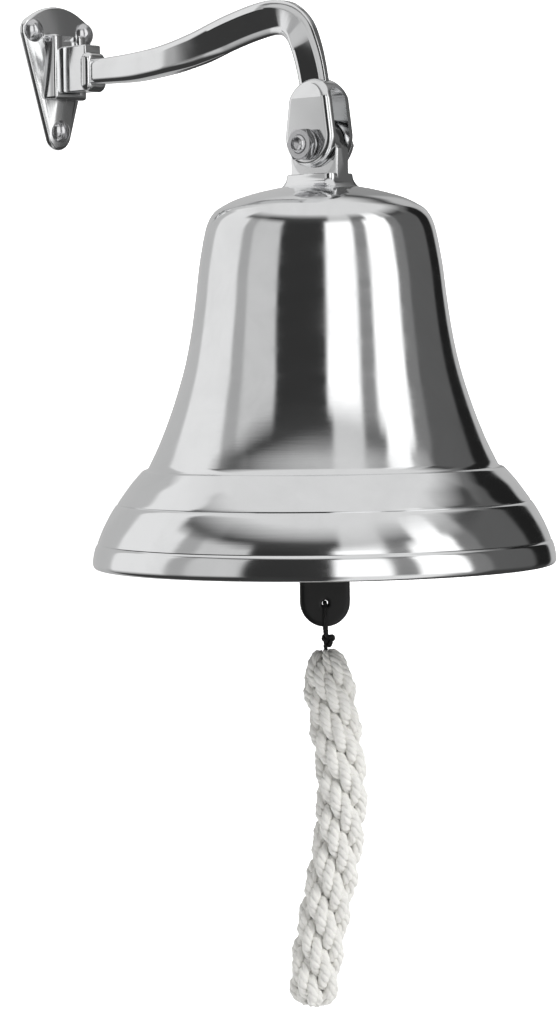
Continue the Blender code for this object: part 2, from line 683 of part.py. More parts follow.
def clapper_link(finish):
    """An oval link over the eye's lowest bar, in the plane across it."""
    bend = EYE_BAR_R + LINK_BAR_R + GAP
    low = EYE_B + bend
    upper = [(bend * math.cos(a), EYE_A + bend * math.sin(a))
             for a in (math.pi * i / 12 for i in range(13))]
    lower = [(bend * math.cos(a), low + bend * math.sin(a))
             for a in (math.pi + math.pi * i / 12 for i in range(13))]
    path = [Vector((0.0, y, z)) for y, z in upper + lower]
    link = ring_tube("clapper_link", path, LINK_BAR_R, 12, finish)
    turn_to_face(link)
    move_mesh(link, MOUTH)
    place_origin(link, MOUTH + Vector((0.0, 0.0, EYE_A)))


def clapper(finish):
    """One iron casting: an eye, a tapered shank, a ball, and a flat tail with a hole."""
    bend = EYE_BEND
    ring = [Vector((bend * math.cos(a), 0.0, EYE_B + bend * math.sin(a)))
            for a in (2 * math.pi * i / 24 for i in range(24))]
    eye = ring_tube("eye_guide", ring, CLAPPER_EYE_BAR_R, 12)
    top = EYE_B - bend + 0.4 * CLAPPER_EYE_BAR_R
    ball = []
    blend = math.asin(SHANK_LOW_R / BALL_R)
    for i in range(11):
        turn = blend + (math.pi * 0.92 - blend) * i / 10
        ball.append((BALL_R * math.sin(turn), BALL_Z + BALL_R * math.cos(turn)))
    profile = [(0.0, top), (SHANK_TOP_R, top - 1.5 * MM)] + ball + [(0.0, ball[-1][1])]
    body = turned("clapper", profile, 24, finish, 50.0)
    half = TAIL_WIDTH / 2
    tail_outline = convex(circle(half, (0.0, CLAPPER_TIP + half), 32)
                          + [(-half, BALL_Z - 6 * MM), (half, BALL_Z - 6 * MM)])
    tail = outline_prism("tail_guide", tail_outline, -TAIL_THICK / 2, TAIL_THICK / 2, "Y", None,
                         1.4 * MM)
    hole = outline_prism("tail_hole_cutter",
                         circle(TIE_D / 2 + TAIL_HOLE_GAP, (0.0, CLAPPER_TIP + TAIL_HOLE_UP), 20),
                         -TAIL_THICK, TAIL_THICK, "Y")
    pieces = [body, eye, tail, hole]
    combine(body, eye, "UNION")
    combine(body, tail, "UNION")
    combine(body, hole, "DIFFERENCE")
    for piece in pieces:
        turn_to_face(piece)
        move_mesh(piece, MOUTH)
        place_origin(piece, MOUTH + Vector((0.0, 0.0, EYE_B)))


# ------------------------------------------------------------------ cords

def face_frame(across, out, height):
    """A world point from across the tail, out from its face towards -Y, and above the mouth."""
    return MOUTH + Matrix.Rotation(FACING, 4, "Z") @ Vector((across, -out, height))


def tie_cord(finish):
    """A black cord through the tail's hole, down past the tip, with a rounded lower end."""
    hole = CLAPPER_TIP + TAIL_HOLE_UP
    join = CLAPPER_TIP - TIE_JOIN_DROP
    end = hole - TIE_DROP
    route = [(0.4 * MM, 1.4 * MM, join + 0.8 * MM), (0.3 * MM, 3.4 * MM, join + 3.6 * MM),
             (0.0, TIE_OFF, join + 8.0 * MM), (0.0, TIE_OFF - 1.0 * MM, hole - 1.2 * MM),
             (0.0, 1.8 * MM, hole), (0.0, -1.8 * MM, hole),
             (0.0, -TIE_OFF + 1.0 * MM, hole - 1.2 * MM), (0.0, -TIE_OFF, join + 8.0 * MM),
             (0.0, -TIE_OFF + 1.6 * MM, join + 3.9 * MM), (0.3 * MM, -1.7 * MM, join + 1.0 * MM),
             (0.3 * MM, -0.6 * MM, join - 0.6 * MM), (0.0, 0.0, join - 2.2 * MM), (0.0, 0.0, end)]
    radius = TIE_D / 2
    base = face_frame(0.0, 0.0, end)
    points = [p for p in even_run(smooth_run([face_frame(*p) for p in route], 8), 26)
              if p.z > base.z + radius / 2]
    scales = [1.0] * len(points)
    for lean in (0, 30, 60, 80):
        turn = math.radians(lean)
        points.append(base - Vector((0.0, 0.0, radius * math.sin(turn))))
        scales.append(math.cos(turn))
    return cord_curve("tie_cord", points, radius, scales, 2, finish)


def rope_route():
    """The rope's axis, bowed across the way the tail looks."""
    head = CLAPPER_TIP + TAIL_HOLE_UP - TIE_DROP - TIE_D / 2 - ROPE_GAP
    return [face_frame(bow * ROPE_LENGTH, 0.0, head - share * ROPE_LENGTH)
            for share, bow in ROPE_BOW]


def bell_rope(finish):
    """A plaited cotton rope, round at both ends, hung by the tie cord."""
    points = even_run(smooth_run(rope_route(), 8), 30)
    radius = ROPE_D / 2
    scales = []
    reach = 0.0
    total = sum((b - a).length for a, b in zip(points, points[1:]))
    for i, point in enumerate(points):
        if i:
            reach += (point - points[i - 1]).length
        near = min(reach, total - reach)
        inside = max(radius - near, 0.0) / radius
        scales.append(max(math.sqrt(1.0 - inside ** 2), 0.30))
    return cord_curve("bell_rope", points, radius, scales, 4, finish)


def main():
    clear_scene()
    polished = material("polished_aluminium", (0.80, 0.80, 0.81), 0.16, 1.0)
    plated = material("plated_steel", (0.62, 0.62, 0.63), 0.25, 1.0)
    iron = material("blackened_iron", (0.03, 0.03, 0.03), 0.45, 0.6)
    black_cord = material("black_cord", (0.02, 0.02, 0.02), 0.85, 0.0)
    cotton = material("white_cotton", (0.86, 0.85, 0.82), 0.9, 0.0)
    wall_plate(polished)
    for name, place in screw_places().items():
        wall_screw(name, place, plated)
    bracket_arm(polished)
    pivot_pieces(plated)
    bell(polished)
    clapper_hanger(plated)
    clapper_link(plated)
    clapper(iron)
    tie_cord(black_cord)
    bell_rope(cotton)


main()
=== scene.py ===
"""Ship bell on a wall bracket, with its clapper, tie cord and plaited rope.

Metres, +Z up. The wall is the plane Y = 0 and the bell hangs in front of it, at -Y. Every piece is
modelled where the frame says it is and rides on its own body.
"""

import json
import math
import random

import bmesh
import bpy
import numpy as np
from mathutils import Matrix, Vector


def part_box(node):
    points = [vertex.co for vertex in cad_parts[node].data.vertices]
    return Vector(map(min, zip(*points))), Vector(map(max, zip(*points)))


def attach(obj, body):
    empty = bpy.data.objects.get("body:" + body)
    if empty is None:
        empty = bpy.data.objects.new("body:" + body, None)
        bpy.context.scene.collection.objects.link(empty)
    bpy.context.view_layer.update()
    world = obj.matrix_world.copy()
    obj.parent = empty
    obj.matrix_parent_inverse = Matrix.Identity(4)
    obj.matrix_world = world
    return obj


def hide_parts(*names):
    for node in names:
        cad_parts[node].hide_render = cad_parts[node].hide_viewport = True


bl_info = {
    "name": "Ship Bell",
    "version": (1, 0, 0),
    "blender": (4, 5, 0),
    "location": "3D View > Sidebar > Ship Bell",
    "description": "Models a wall-hung ship bell piece by piece over its fixed frame",
    "category": "Add Mesh",
}

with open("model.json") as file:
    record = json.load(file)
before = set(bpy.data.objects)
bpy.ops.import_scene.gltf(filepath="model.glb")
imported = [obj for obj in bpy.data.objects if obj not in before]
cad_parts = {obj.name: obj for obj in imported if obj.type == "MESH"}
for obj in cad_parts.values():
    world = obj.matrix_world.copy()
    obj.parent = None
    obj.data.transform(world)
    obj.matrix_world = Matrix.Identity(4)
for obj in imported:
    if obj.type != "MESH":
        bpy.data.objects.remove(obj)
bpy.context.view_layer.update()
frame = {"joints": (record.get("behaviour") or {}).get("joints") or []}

MM = 0.001
JOINTS = {joint["name"]: joint for joint in frame["joints"]}
PIVOT = Vector(JOINTS["bell_swing"]["pos_m"])
MOUTH = Vector((PIVOT.x, PIVOT.y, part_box("bell")[0].z))
LIP_R = (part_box("bell")[1].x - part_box("bell")[0].x) / 2
TAIL_TURN = math.radians(-45.0)          # the clapper's flat tail looks this way from -Y
FACE_GAP = 0.3 * MM                      # left between pieces that rest on each other

# the camera stands in front of the bell and to the left of the wall plate
SIDE = Vector((0.682, -0.731, 0.0))      # towards the right of the view
BACK = Vector((-0.731, -0.682, 0.0))     # from the bell towards the viewer


# ------------------------------------------------------------------ settings

def length(label, note, value):
    """A length in metres that a user can change."""
    return bpy.props.FloatProperty(name=label, description=note, default=value, min=0.0,
                                   precision=5, unit="LENGTH")


def share(label, note, value):
    """A share from 0 to 1 that a user can change."""
    return bpy.props.FloatProperty(name=label, description=note, default=value, min=0.0, max=1.0,
                                   subtype="FACTOR")


def colour(label, note, value):
    return bpy.props.FloatVectorProperty(name=label, description=note, default=value, size=3,
                                         min=0.0, max=1.0, subtype="COLOR")


class BellSettings(bpy.types.PropertyGroup):
    """Sizes of the bell casting"""

    sides: bpy.props.IntProperty(name="Sides", description="Flats round the bell's mouth",
                                 default=144, min=32, max=256)
    shoulder: length("Shoulder", "Radius of the bell at its shoulder", 47.8 * MM)
    waist_wall: length("Waist wall", "Thickness of the wall above the beads", 4.6 * MM)
    bow_wall: length("Sound bow", "Thickness where the clapper strikes", 7.0 * MM)
    lip_wall: length("Lip", "Thickness of the wall at the mouth", 4.3 * MM)
    crown_wall: length("Crown", "Thickness at the middle of the crown", 8.2 * MM)
    lug_thick: length("Lug", "Thickness of the lug between the fork's ears", 7.8 * MM)
    bore: length("Bore", "Bore through the lug", 8.7 * MM)


class BracketSettings(bpy.types.PropertyGroup):
    """Sizes of the wall plate and the arm"""

    plate_thick: length("Plate", "Thickness of the wall plate", 4.6 * MM)
    plate_edge: length("Plate edge", "Round on the plate's front edge", 1.3 * MM)
    boss_depth: length("Socket", "How far the socket stands out from the plate", 6.0 * MM)
    ear_edge: length("Ear edge", "Round on the fork's edges", 2.7 * MM)
    screw_head: length("Screw head", "Diameter of a screw's domed head", 10.6 * MM)
    bolt: length("Pivot bolt", "Diameter of the pivot bolt", 8.0 * MM)


class ClapperSettings(bpy.types.PropertyGroup):
    """Sizes of the clapper and what it hangs from"""

    ball: length("Ball", "Radius of the clapper's ball", 17.5 * MM)
    tail_wide: length("Tail width", "Width of the flat tail", 22.0 * MM)
    tail_thick: length("Tail thickness", "Thickness of the flat tail", 7.0 * MM)
    skin: length("Casting grain", "Spacing of the mesh over the casting", 0.62 * MM)


class RopeSettings(bpy.types.PropertyGroup):
    """Sizes of the tie cord and the bell rope"""

    rope: length("Rope", "Diameter of the plaited rope", 23.4 * MM)
    rope_long: length("Rope length", "Length of the rope along its own line", 155.0 * MM)
    lay: length("Lay", "Length of one full turn of a strand", 68.0 * MM)
    strands: bpy.props.IntProperty(name="Strands", description="Strands laid round the rope",
                                   default=4, min=3, max=8)
    tie: length("Tie cord", "Diameter of the black tie cord", 1.8 * MM)
    tie_long: length("Tie length", "Length of the tie cord along its own line", 48.0 * MM)
    fibres: bpy.props.IntProperty(name="Loose fibres", description="Fibres that stand off the rope",
                                  default=2600, min=0, max=4000)


class FinishSettings(bpy.types.PropertyGroup):
    """Colours and gloss of the finishes"""

    aluminium: colour("Aluminium", "Colour of the polished castings", (0.87, 0.875, 0.88))
    steel: colour("Steel", "Colour of the plated screws and nuts", (0.70, 0.70, 0.70))
    iron: colour("Iron", "Colour of the blackened clapper", (0.012, 0.012, 0.0125))
    cotton: colour("Cotton", "Colour of the rope", (0.60, 0.595, 0.585))
    cord: colour("Cord", "Colour of the tie cord", (0.014, 0.014, 0.015))
    polish: share("Polish", "Roughness of the polished castings", 0.065)
    wear: share("Wear", "How much handling has dulled the metal", 0.5)


class StageSettings(bpy.types.PropertyGroup):
    """The floor, the wall and the light"""

    floor_drop: length("Floor", "How far the floor is below the wall plate", 0.66)
    brightness: bpy.props.FloatProperty(name="Light", description="Strength of the surroundings",
                                        default=1.0, min=0.0, max=5.0)
    key_light: bpy.props.FloatProperty(name="Key light", description="Power of the soft key light",
                                       default=19.0, min=0.0, unit="POWER")


# ------------------------------------------------------------------ modelling helpers

def fresh():
    """Leaves edit mode and lets go of everything selected."""
    if bpy.context.object and bpy.context.object.mode != "OBJECT":
        bpy.ops.object.mode_set(mode="OBJECT")
    bpy.ops.object.select_all(action="DESELECT")


def hold(piece):
    """Makes a piece the only one selected."""
    fresh()
    piece.select_set(True)
    bpy.context.view_layer.objects.active = piece
    return piece


def named(name):
    """Names the piece that an operator has just added."""
    piece = bpy.context.object
    piece.name = name
    piece.data.name = name
    return piece


def open_mesh(piece):
    """Opens a piece in edit mode with all of it selected."""
    hold(piece)
    bpy.ops.object.mode_set(mode="EDIT")
    bpy.ops.mesh.select_all(action="SELECT")
    return piece


def close_mesh(piece, mend=True):
    """Leaves edit mode with doubles merged and every face outwards."""
    if mend:
        bpy.ops.mesh.select_all(action="SELECT")
        bpy.ops.mesh.remove_doubles(threshold=1e-6)
        bpy.ops.mesh.normals_make_consistent(inside=False)
    bpy.ops.object.mode_set(mode="OBJECT")
    return piece


def settle():
    """Puts the selected piece's place, turn and size into its mesh."""
    bpy.ops.object.transform_apply(location=True, rotation=True, scale=True)


def pull(move):
    """Extrudes what is selected."""
    bpy.ops.mesh.extrude_region_move(TRANSFORM_OT_translate={"value": move})


def grow(factors, about):
    """Resizes what is selected about a point."""
    bpy.ops.transform.resize(value=factors, center_override=about)


def choose(piece, kind, test):
    """In edit mode, selects the vertices, edges or faces that pass a test."""
    bpy.ops.mesh.select_mode(type=kind)
    bpy.ops.mesh.select_all(action="DESELECT")
    shape = bmesh.from_edit_mesh(piece.data)
    for item in {"VERT": shape.verts, "EDGE": shape.edges, "FACE": shape.faces}[kind]:
        if test(item):
            item.select_set(True)
    shape.select_flush_mode()
    bmesh.update_edit_mesh(piece.data)


def sharp(edge, degrees=30.0):
    """Whether an edge turns a corner."""
    return len(edge.link_faces) == 2 and edge.calc_face_angle(0.0) > math.radians(degrees)


def round_edges(piece, width, test=sharp, segments=3):
    """Rounds the edges that pass a test."""
    open_mesh(piece)
    choose(piece, "EDGE", test)
    bpy.ops.mesh.bevel(offset=width, segments=segments, profile=0.5, affect="EDGES",
                       clamp_overlap=True)
    return close_mesh(piece)


def place(piece, matrix):
    """Puts a piece in its place and leaves its object at the origin, unturned."""
    hold(piece)
    piece.matrix_world = matrix @ piece.matrix_world
    settle()
    return piece


def apply_step(piece, kind, **values):
    """Adds a modifier and applies it."""
    hold(piece)
    step = piece.modifiers.new(kind.title(), kind)
    for key, value in values.items():
        setattr(step, key, value)
    bpy.ops.object.modifier_apply(modifier=step.name)
    return piece


def combine(piece, tool, how):
    """Joins a tool to a piece, cuts it away or keeps what they share, and drops the tool."""
    apply_step(piece, "BOOLEAN", operation=how, solver="EXACT", object=tool)
    bpy.data.objects.remove(tool, do_unlink=True)
    return piece


def smooth(piece, degrees=30.0, flats=False):
    """Smooths the shading below an angle, and keeps broad flat faces flat where asked."""
    hold(piece)
    bpy.ops.object.shade_smooth_by_angle(angle=math.radians(degrees))
    if flats:
        apply_step(piece, "WEIGHTED_NORMAL", weight=90, keep_sharp=True)
    return piece


def turned(name, profile, sides, ring=False):
    """Turns (radius, height) points about Z, from a circle that is extruded and resized."""
    fresh()
    radius, height = profile[0]
    bpy.ops.mesh.primitive_circle_add(vertices=sides, radius=radius, location=(0.0, 0.0, height),
                                      fill_type="NOTHING" if ring else "NGON")
    piece = open_mesh(named(name))
    for (r0, h0), (r1, h1) in zip(profile, profile[1:] + (profile[:1] if ring else [])):
        pull((0.0, 0.0, h1 - h0))
        grow((r1 / r0, r1 / r0, 1.0), (0.0, 0.0, h1))
    close_mesh(piece)
    return place(piece, Matrix())


def rounded_ring(name, wide, deep, corner, segments=5):
    """A flat face with round corners, lying in the XY plane."""
    fresh()
    bpy.ops.mesh.primitive_plane_add(size=1.0)
    piece = named(name)
    piece.scale = (wide, deep, 1.0)
    settle()
    open_mesh(piece)
    bpy.ops.mesh.bevel(offset=corner, segments=segments, affect="VERTICES")
    bpy.ops.mesh.select_all(action="SELECT")
    return piece


def block(name, low, high, edge, segments=3):
    """A bar between two corners with round edges."""
    fresh()
    low, high = Vector(low), Vector(high)
    bpy.ops.mesh.primitive_cube_add(size=1.0, location=(low + high) / 2)
    piece = named(name)
    piece.scale = high - low
    settle()
    if edge:
        round_edges(piece, edge, segments=segments)
    return piece


def stadium(name, low, high, thick, sides=64):
    """A plate along X with two round ends, given as (radius, y, z) for the low and high one."""
    fresh()
    (r0, y0, z0), (r1, y1, z1) = low, high
    bpy.ops.mesh.primitive_circle_add(vertices=sides, radius=r0, location=(0.0, y0, z0),
                                      rotation=(0.0, math.pi / 2, 0.0), fill_type="NGON")
    piece = named(name)
    settle()
    open_mesh(piece)
    choose(piece, "VERT", lambda v: v.co.z > z0 + 1e-6)
    grow((1.0, r1 / r0, r1 / r0), (0.0, y0, z0))
    bpy.ops.transform.translate(value=(0.0, y1 - y0, z1 - z0))
    bpy.ops.mesh.select_all(action="SELECT")
    bpy.ops.transform.translate(value=(-thick / 2, 0.0, 0.0))
    pull((thick, 0.0, 0.0))
    return close_mesh(piece)


def pin(name, radius, ends, sides=32):
    """A plain round bar between two points, used to bore holes."""
    fresh()
    low, high = Vector(ends[0]), Vector(ends[1])
    bpy.ops.mesh.primitive_cylinder_add(vertices=sides, radius=radius, depth=(high - low).length,
                                        location=(low + high) / 2,
                                        rotation=(high - low).to_track_quat("Z", "Y").to_euler())
    piece = named(name)
    settle()
    return piece


def through(points, pieces):
    """A smooth run through some points, with no overshoot where they are unevenly spaced."""
    points = [Vector(p) for p in points]
    ends = [points[0] * 2 - points[1]] + points + [points[-1] * 2 - points[-2]]
    run = []
    for p0, p1, p2, p3 in zip(ends, ends[1:], ends[2:], ends[3:]):
        t0 = 0.0
        t1 = t0 + max((p1 - p0).length, 1e-9) ** 0.5
        t2 = t1 + max((p2 - p1).length, 1e-9) ** 0.5
        t3 = t2 + max((p3 - p2).length, 1e-9) ** 0.5
        for i in range(pieces):
            t = t1 + (t2 - t1) * i / pieces
            a1 = p0 * ((t1 - t) / (t1 - t0)) + p1 * ((t - t0) / (t1 - t0))
            a2 = p1 * ((t2 - t) / (t2 - t1)) + p2 * ((t - t1) / (t2 - t1))
            a3 = p2 * ((t3 - t) / (t3 - t2)) + p3 * ((t - t2) / (t3 - t2))
            b1 = a1 * ((t2 - t) / (t2 - t0)) + a2 * ((t - t0) / (t2 - t0))
            b2 = a2 * ((t3 - t) / (t3 - t1)) + a3 * ((t - t1) / (t3 - t1))
            run.append(b1 * ((t2 - t) / (t2 - t1)) + b2 * ((t - t1) / (t2 - t1)))
    return run + [points[-1]]


def travel(run):
    """How far along a run each of its points lies."""
    return np.concatenate([[0.0], np.cumsum(np.linalg.norm(np.diff(run, axis=0), axis=1))])


def rows(points):
    return np.array([list(p) for p in points])


def even(points, count):
    """The same run as count points, evenly spaced."""
    run = rows(points)
    steps = travel(run)
    want = np.linspace(0.0, steps[-1], count)
    return [Vector(p) for p in np.stack([np.interp(want, steps, run[:, k])
                                         for k in range(run.shape[1])], axis=1)]


def read(table, at):
    """Reads a smooth value from (place, value) pairs."""
    for (a, low), (b, high) in zip(table, table[1:]):
        if at <= b:
            t = min(max((at - a) / (b - a), 0.0), 1.0)
            return low + (high - low) * t * t * (3 - 2 * t)
    return table[-1][1]


def deliver(piece, body, nodes, finish_name):
    """Gives a piece its finish, its body and the nodes that it stands for."""
    piece.data.materials.clear()
    piece.data.materials.append(finish(finish_name))
    for face in piece.data.polygons:
        face.material_index = 0
    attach(piece, body)
    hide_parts(*nodes)
    return piece


def settings():
    return bpy.context.scene.ship_bell


# ------------------------------------------------------------------ nodes and finishes

def node(tree, kind, spot, values=None, **switches):
    """Adds a node at a spot of the sheet, with its switches and socket values."""
    made = tree.nodes.new(kind)
    made.location = (spot[0] * 200.0, spot[1] * -160.0)
    for key, value in switches.items():
        setattr(made, key, value)
    for socket, value in (values or {}).items():
        made.inputs[socket].default_value = value
    return made


def wire(tree, *links):
    """Joins (node, output, node, input) sockets."""
    for source, out, target, into in links:
        tree.links.new(source.outputs[out], target.inputs[into])


def noise(tree, spot, detail, roughness=0.5, scale=1.0, distortion=0.0):
    """Adds a noise texture."""
    return node(tree, "ShaderNodeTexNoise", spot, {"Scale": scale, "Detail": detail,
                                                   "Roughness": roughness,
                                                   "Distortion": distortion})


def maths(tree, spot, operation, values=None):
    """Adds a sum."""
    return node(tree, "ShaderNodeMath", spot, values, operation=operation)


def remap(tree, spot, start=(0.0, 1.0), end=(0.0, 1.0)):
    """Carries one range of values over to another."""
    return node(tree, "ShaderNodeMapRange", spot, {"From Min": start[0], "From Max": start[1],
                                                   "To Min": end[0], "To Max": end[1]})


def effect(name, inputs, outputs):
    """An empty node group with named sockets, and its two end nodes."""
    tree = bpy.data.node_groups.new(name, "ShaderNodeTree")
    for label, kind, value in inputs:
        socket = tree.interface.new_socket(name=label, in_out="INPUT", socket_type=kind)
        socket.default_value = value
    for label, kind in outputs:
        tree.interface.new_socket(name=label, in_out="OUTPUT", socket_type=kind)
    return (tree, node(tree, "NodeGroupInput", (-5, 0)), node(tree, "NodeGroupOutput", (5, 0)))


FLOAT, VECTOR = "NodeSocketFloat", "NodeSocketVector"


def polishing_marks():
    """Fine marks drawn out along the way a surface was polished."""
    tree, start, end = effect("Polishing marks", [("Stretch", VECTOR, (30.0, 30.0, 700.0))],
                              [("Height", FLOAT), ("Streaks", FLOAT)])
    at = node(tree, "ShaderNodeTexCoord", (-4, 1))
    fine = node(tree, "ShaderNodeMapping", (-3, 0))
    broad = node(tree, "ShaderNodeVectorMath", (-4, 2), {1: (0.22, 0.22, 0.22)},
                 operation="MULTIPLY")
    wide = node(tree, "ShaderNodeMapping", (-3, 2))
    marks = noise(tree, (-1, 0), 3.0, 0.65)
    bands = noise(tree, (-1, 2), 3.0, 0.6)
    spread = remap(tree, (1, 2), (0.35, 0.65))
    wire(tree, (at, "Object", fine, "Vector"), (start, "Stretch", fine, "Scale"),
         (start, "Stretch", broad, 0), (broad, 0, wide, "Scale"), (at, "Object", wide, "Vector"),
         (fine, 0, marks, "Vector"), (wide, 0, bands, "Vector"), (marks, 0, end, "Height"),
         (bands, 0, spread, 0), (spread, 0, end, "Streaks"))
    return tree


def turning_marks():
    """Fine rings left by turning and polishing a bell on a lathe."""
    tree, start, end = effect("Turning marks", [("Pitch", FLOAT, 900.0), ("Along", FLOAT, 3.0)],
                              [("Height", FLOAT), ("Streaks", FLOAT)])
    at = node(tree, "ShaderNodeTexCoord", (-4, 0))
    middle = node(tree, "ShaderNodeMapping", (-3, 0), {"Location": tuple(-MOUTH)})
    parts = node(tree, "ShaderNodeSeparateXYZ", (-2, 0))
    turn = maths(tree, (-1, 0), "ARCTAN2")
    round_x = maths(tree, (-0.3, -1), "COSINE")
    round_y = maths(tree, (-0.3, 0), "SINE")
    rise = maths(tree, (-1, 2), "MULTIPLY")
    wide_x = maths(tree, (0.4, -1), "MULTIPLY")
    wide_y = maths(tree, (0.4, 0), "MULTIPLY")
    whole = node(tree, "ShaderNodeCombineXYZ", (1, 0))
    marks = noise(tree, (2, 0), 3.0, 0.7)
    slow = node(tree, "ShaderNodeVectorMath", (1.6, 2), {1: (1.0, 1.0, 0.16)},
                operation="MULTIPLY")
    bands = noise(tree, (2.4, 2), 4.0, 0.6)
    spread = remap(tree, (3.2, 2), (0.35, 0.65))
    wire(tree, (at, "Object", middle, "Vector"), (middle, 0, parts, 0), (parts, "Y", turn, 0),
         (parts, "X", turn, 1), (turn, 0, round_x, 0), (turn, 0, round_y, 0),
         (parts, "Z", rise, 0), (start, "Pitch", rise, 1), (round_x, 0, wide_x, 0),
         (start, "Along", wide_x, 1), (round_y, 0, wide_y, 0), (start, "Along", wide_y, 1),
         (wide_x, 0, whole, "X"), (wide_y, 0, whole, "Y"), (rise, 0, whole, "Z"),
         (whole, 0, marks, "Vector"), (whole, 0, slow, 0), (slow, 0, bands, "Vector"),
         (marks, 0, end, "Height"), (bands, 0, spread, 0), (spread, 0, end, "Streaks"))
    return tree


def handling_wear():
    """Cloudy patches where hands and cloths have dulled a polish, and worn edges."""
    tree, start, end = effect("Handling wear", [("Patch", FLOAT, 28.0), ("Amount", FLOAT, 0.5)],
                              [("Dull", FLOAT), ("Edge", FLOAT), ("Waves", FLOAT)])
    at = node(tree, "ShaderNodeTexCoord", (-4, 0))
    cloud = noise(tree, (-3, 0), 5.0, 0.62, distortion=0.6)
    lift = remap(tree, (-2, 0), (0.42, 0.72))
    dull = maths(tree, (-1, 0), "MULTIPLY")
    shape = node(tree, "ShaderNodeNewGeometry", (-4, 2))
    worn = remap(tree, (-2, 2), (0.505, 0.56))
    edge = maths(tree, (-1, 2), "MULTIPLY")
    swell = noise(tree, (-2, 4), 1.0, scale=34.0)
    wire(tree, (at, "Object", cloud, "Vector"), (start, "Patch", cloud, "Scale"),
         (cloud, 0, lift, 0), (lift, 0, dull, 0), (start, "Amount", dull, 1),
         (dull, 0, end, "Dull"), (shape, "Pointiness", worn, 0), (worn, 0, edge, 0),
         (start, "Amount", edge, 1), (edge, 0, end, "Edge"), (at, "Object", swell, "Vector"),
         (swell, 0, end, "Waves"))
    return tree


def cast_skin():
    """The fine pitted skin of a casting, with darker and lighter patches."""
    tree, start, end = effect("Cast skin", [("Grain", FLOAT, 900.0)],
                              [("Height", FLOAT), ("Patches", FLOAT)])
    at = node(tree, "ShaderNodeTexCoord", (-4, 0))
    pits = node(tree, "ShaderNodeTexVoronoi", (-3, 0), feature="SMOOTH_F1")
    skin = noise(tree, (-3, 2), 6.0, 0.7)
    both = maths(tree, (-1, 0), "MULTIPLY")
    patches = noise(tree, (-3, 4), 5.0, 0.65, scale=110.0)
    wire(tree, (at, "Object", pits, "Vector"), (start, "Grain", pits, "Scale"),
         (at, "Object", skin, "Vector"), (start, "Grain", skin, "Scale"), (pits, 0, both, 0),
         (skin, 0, both, 1), (both, 0, end, "Height"), (at, "Object", patches, "Vector"),
         (patches, 0, end, "Patches"))
    return tree


def spun_fibre():
    """Fibres that run along a yarn and twist round it, read from the yarn's own map."""
    tree, start, end = effect("Spun fibre", [("Fibres", FLOAT, 9.0), ("Twist", FLOAT, 1.4)],
                              [("Height", FLOAT), ("Shade", FLOAT)])
    at = node(tree, "ShaderNodeTexCoord", (-5, 0))
    parts = node(tree, "ShaderNodeSeparateXYZ", (-4, 0))
    twist = maths(tree, (-3, 1), "MULTIPLY")
    across = maths(tree, (-2, 0), "ADD")
    spread = maths(tree, (-1, 0), "MULTIPLY")
    whole = node(tree, "ShaderNodeCombineXYZ", (0, 0))
    strands = noise(tree, (1, 0), 4.0, 0.75, distortion=0.4)
    tone = noise(tree, (1, 2), 3.0, scale=0.35)
    wire(tree, (at, "UV", parts, 0), (parts, "Y", twist, 0), (start, "Twist", twist, 1),
         (parts, "X", across, 0), (twist, 0, across, 1), (across, 0, spread, 0),
         (start, "Fibres", spread, 1), (spread, 0, whole, "X"), (parts, "Y", whole, "Y"),
         (whole, 0, strands, "Vector"), (whole, 0, tone, "Vector"),
         (strands, 0, end, "Height"), (tone, 0, end, "Shade"))
    return tree


EFFECTS = {"Polishing marks": polishing_marks, "Turning marks": turning_marks,
           "Handling wear": handling_wear, "Cast skin": cast_skin, "Spun fibre": spun_fibre}


def use_effect(tree, name, spot, **values):
    """Places an effect's node group, built on its first use, with its own values."""
    made = node(tree, "ShaderNodeGroup", spot)
    made.node_tree = bpy.data.node_groups.get(name) or EFFECTS[name]()
    made.width = 180
    for socket, value in values.items():
        made.inputs[socket].default_value = value
    return made


def blank(name, metallic=0.0, **constants):
    """A material with its shader, and the constants on the shader's own sockets."""
    made = bpy.data.materials.new(name)
    made.use_nodes = True
    tree = made.node_tree
    shader = tree.nodes["Principled BSDF"]
    shader.location = (900.0, 0.0)
    tree.nodes["Material Output"].location = (1250.0, 0.0)
    shader.inputs["Metallic"].default_value = metallic
    for socket, value in constants.items():
        shader.inputs[socket.replace("_", " ")].default_value = value
    return made, tree, shader


def mixed(tree, spot, low, high):
    """A colour mixer between two shades."""
    return node(tree, "ShaderNodeMix", spot, {6: (*low, 1.0), 7: (*high, 1.0)}, data_type="RGBA",
                clamp_factor=True)


def tint(shade, factor):
    return tuple(min(c * factor, 1.0) for c in shade)


def polished(name, shade, rough, marks, wear, lathe=False, depth=1.0):
    """Polished metal: marks from the wheel, cloudy handling and slow waves in the reflection."""
    made, tree, shader = blank(name, 1.0)
    if lathe:
        lines = use_effect(tree, "Turning marks", (-3, 0), Pitch=marks[0], Along=marks[1])
    else:
        lines = use_effect(tree, "Polishing marks", (-3, 0), Stretch=marks)
    handled = use_effect(tree, "Handling wear", (-3, 2), Amount=wear)
    colours = mixed(tree, (-1, -1), shade, tint(shade, 0.86))
    gloss = remap(tree, (-1, 1), end=(rough, rough + 0.05))
    cloudy = maths(tree, (0, 1), "MULTIPLY_ADD", {1: 0.08})
    waves = node(tree, "ShaderNodeBump", (1, 3), {"Strength": 1.0, "Distance": 0.00010 * depth})
    fine = node(tree, "ShaderNodeBump", (2.5, 2), {"Strength": 1.0, "Distance": 0.0000060 * depth})
    wire(tree, (handled, "Dull", colours, 0), (colours, 2, shader, "Base Color"),
         (lines, "Streaks", gloss, 0), (handled, "Dull", cloudy, 0), (gloss, 0, cloudy, 2),
         (cloudy, 0, shader, "Roughness"), (handled, "Waves", waves, "Height"),
         (lines, "Height", fine, "Height"), (waves, 0, fine, "Normal"),
         (fine, 0, shader, "Normal"))
    return made


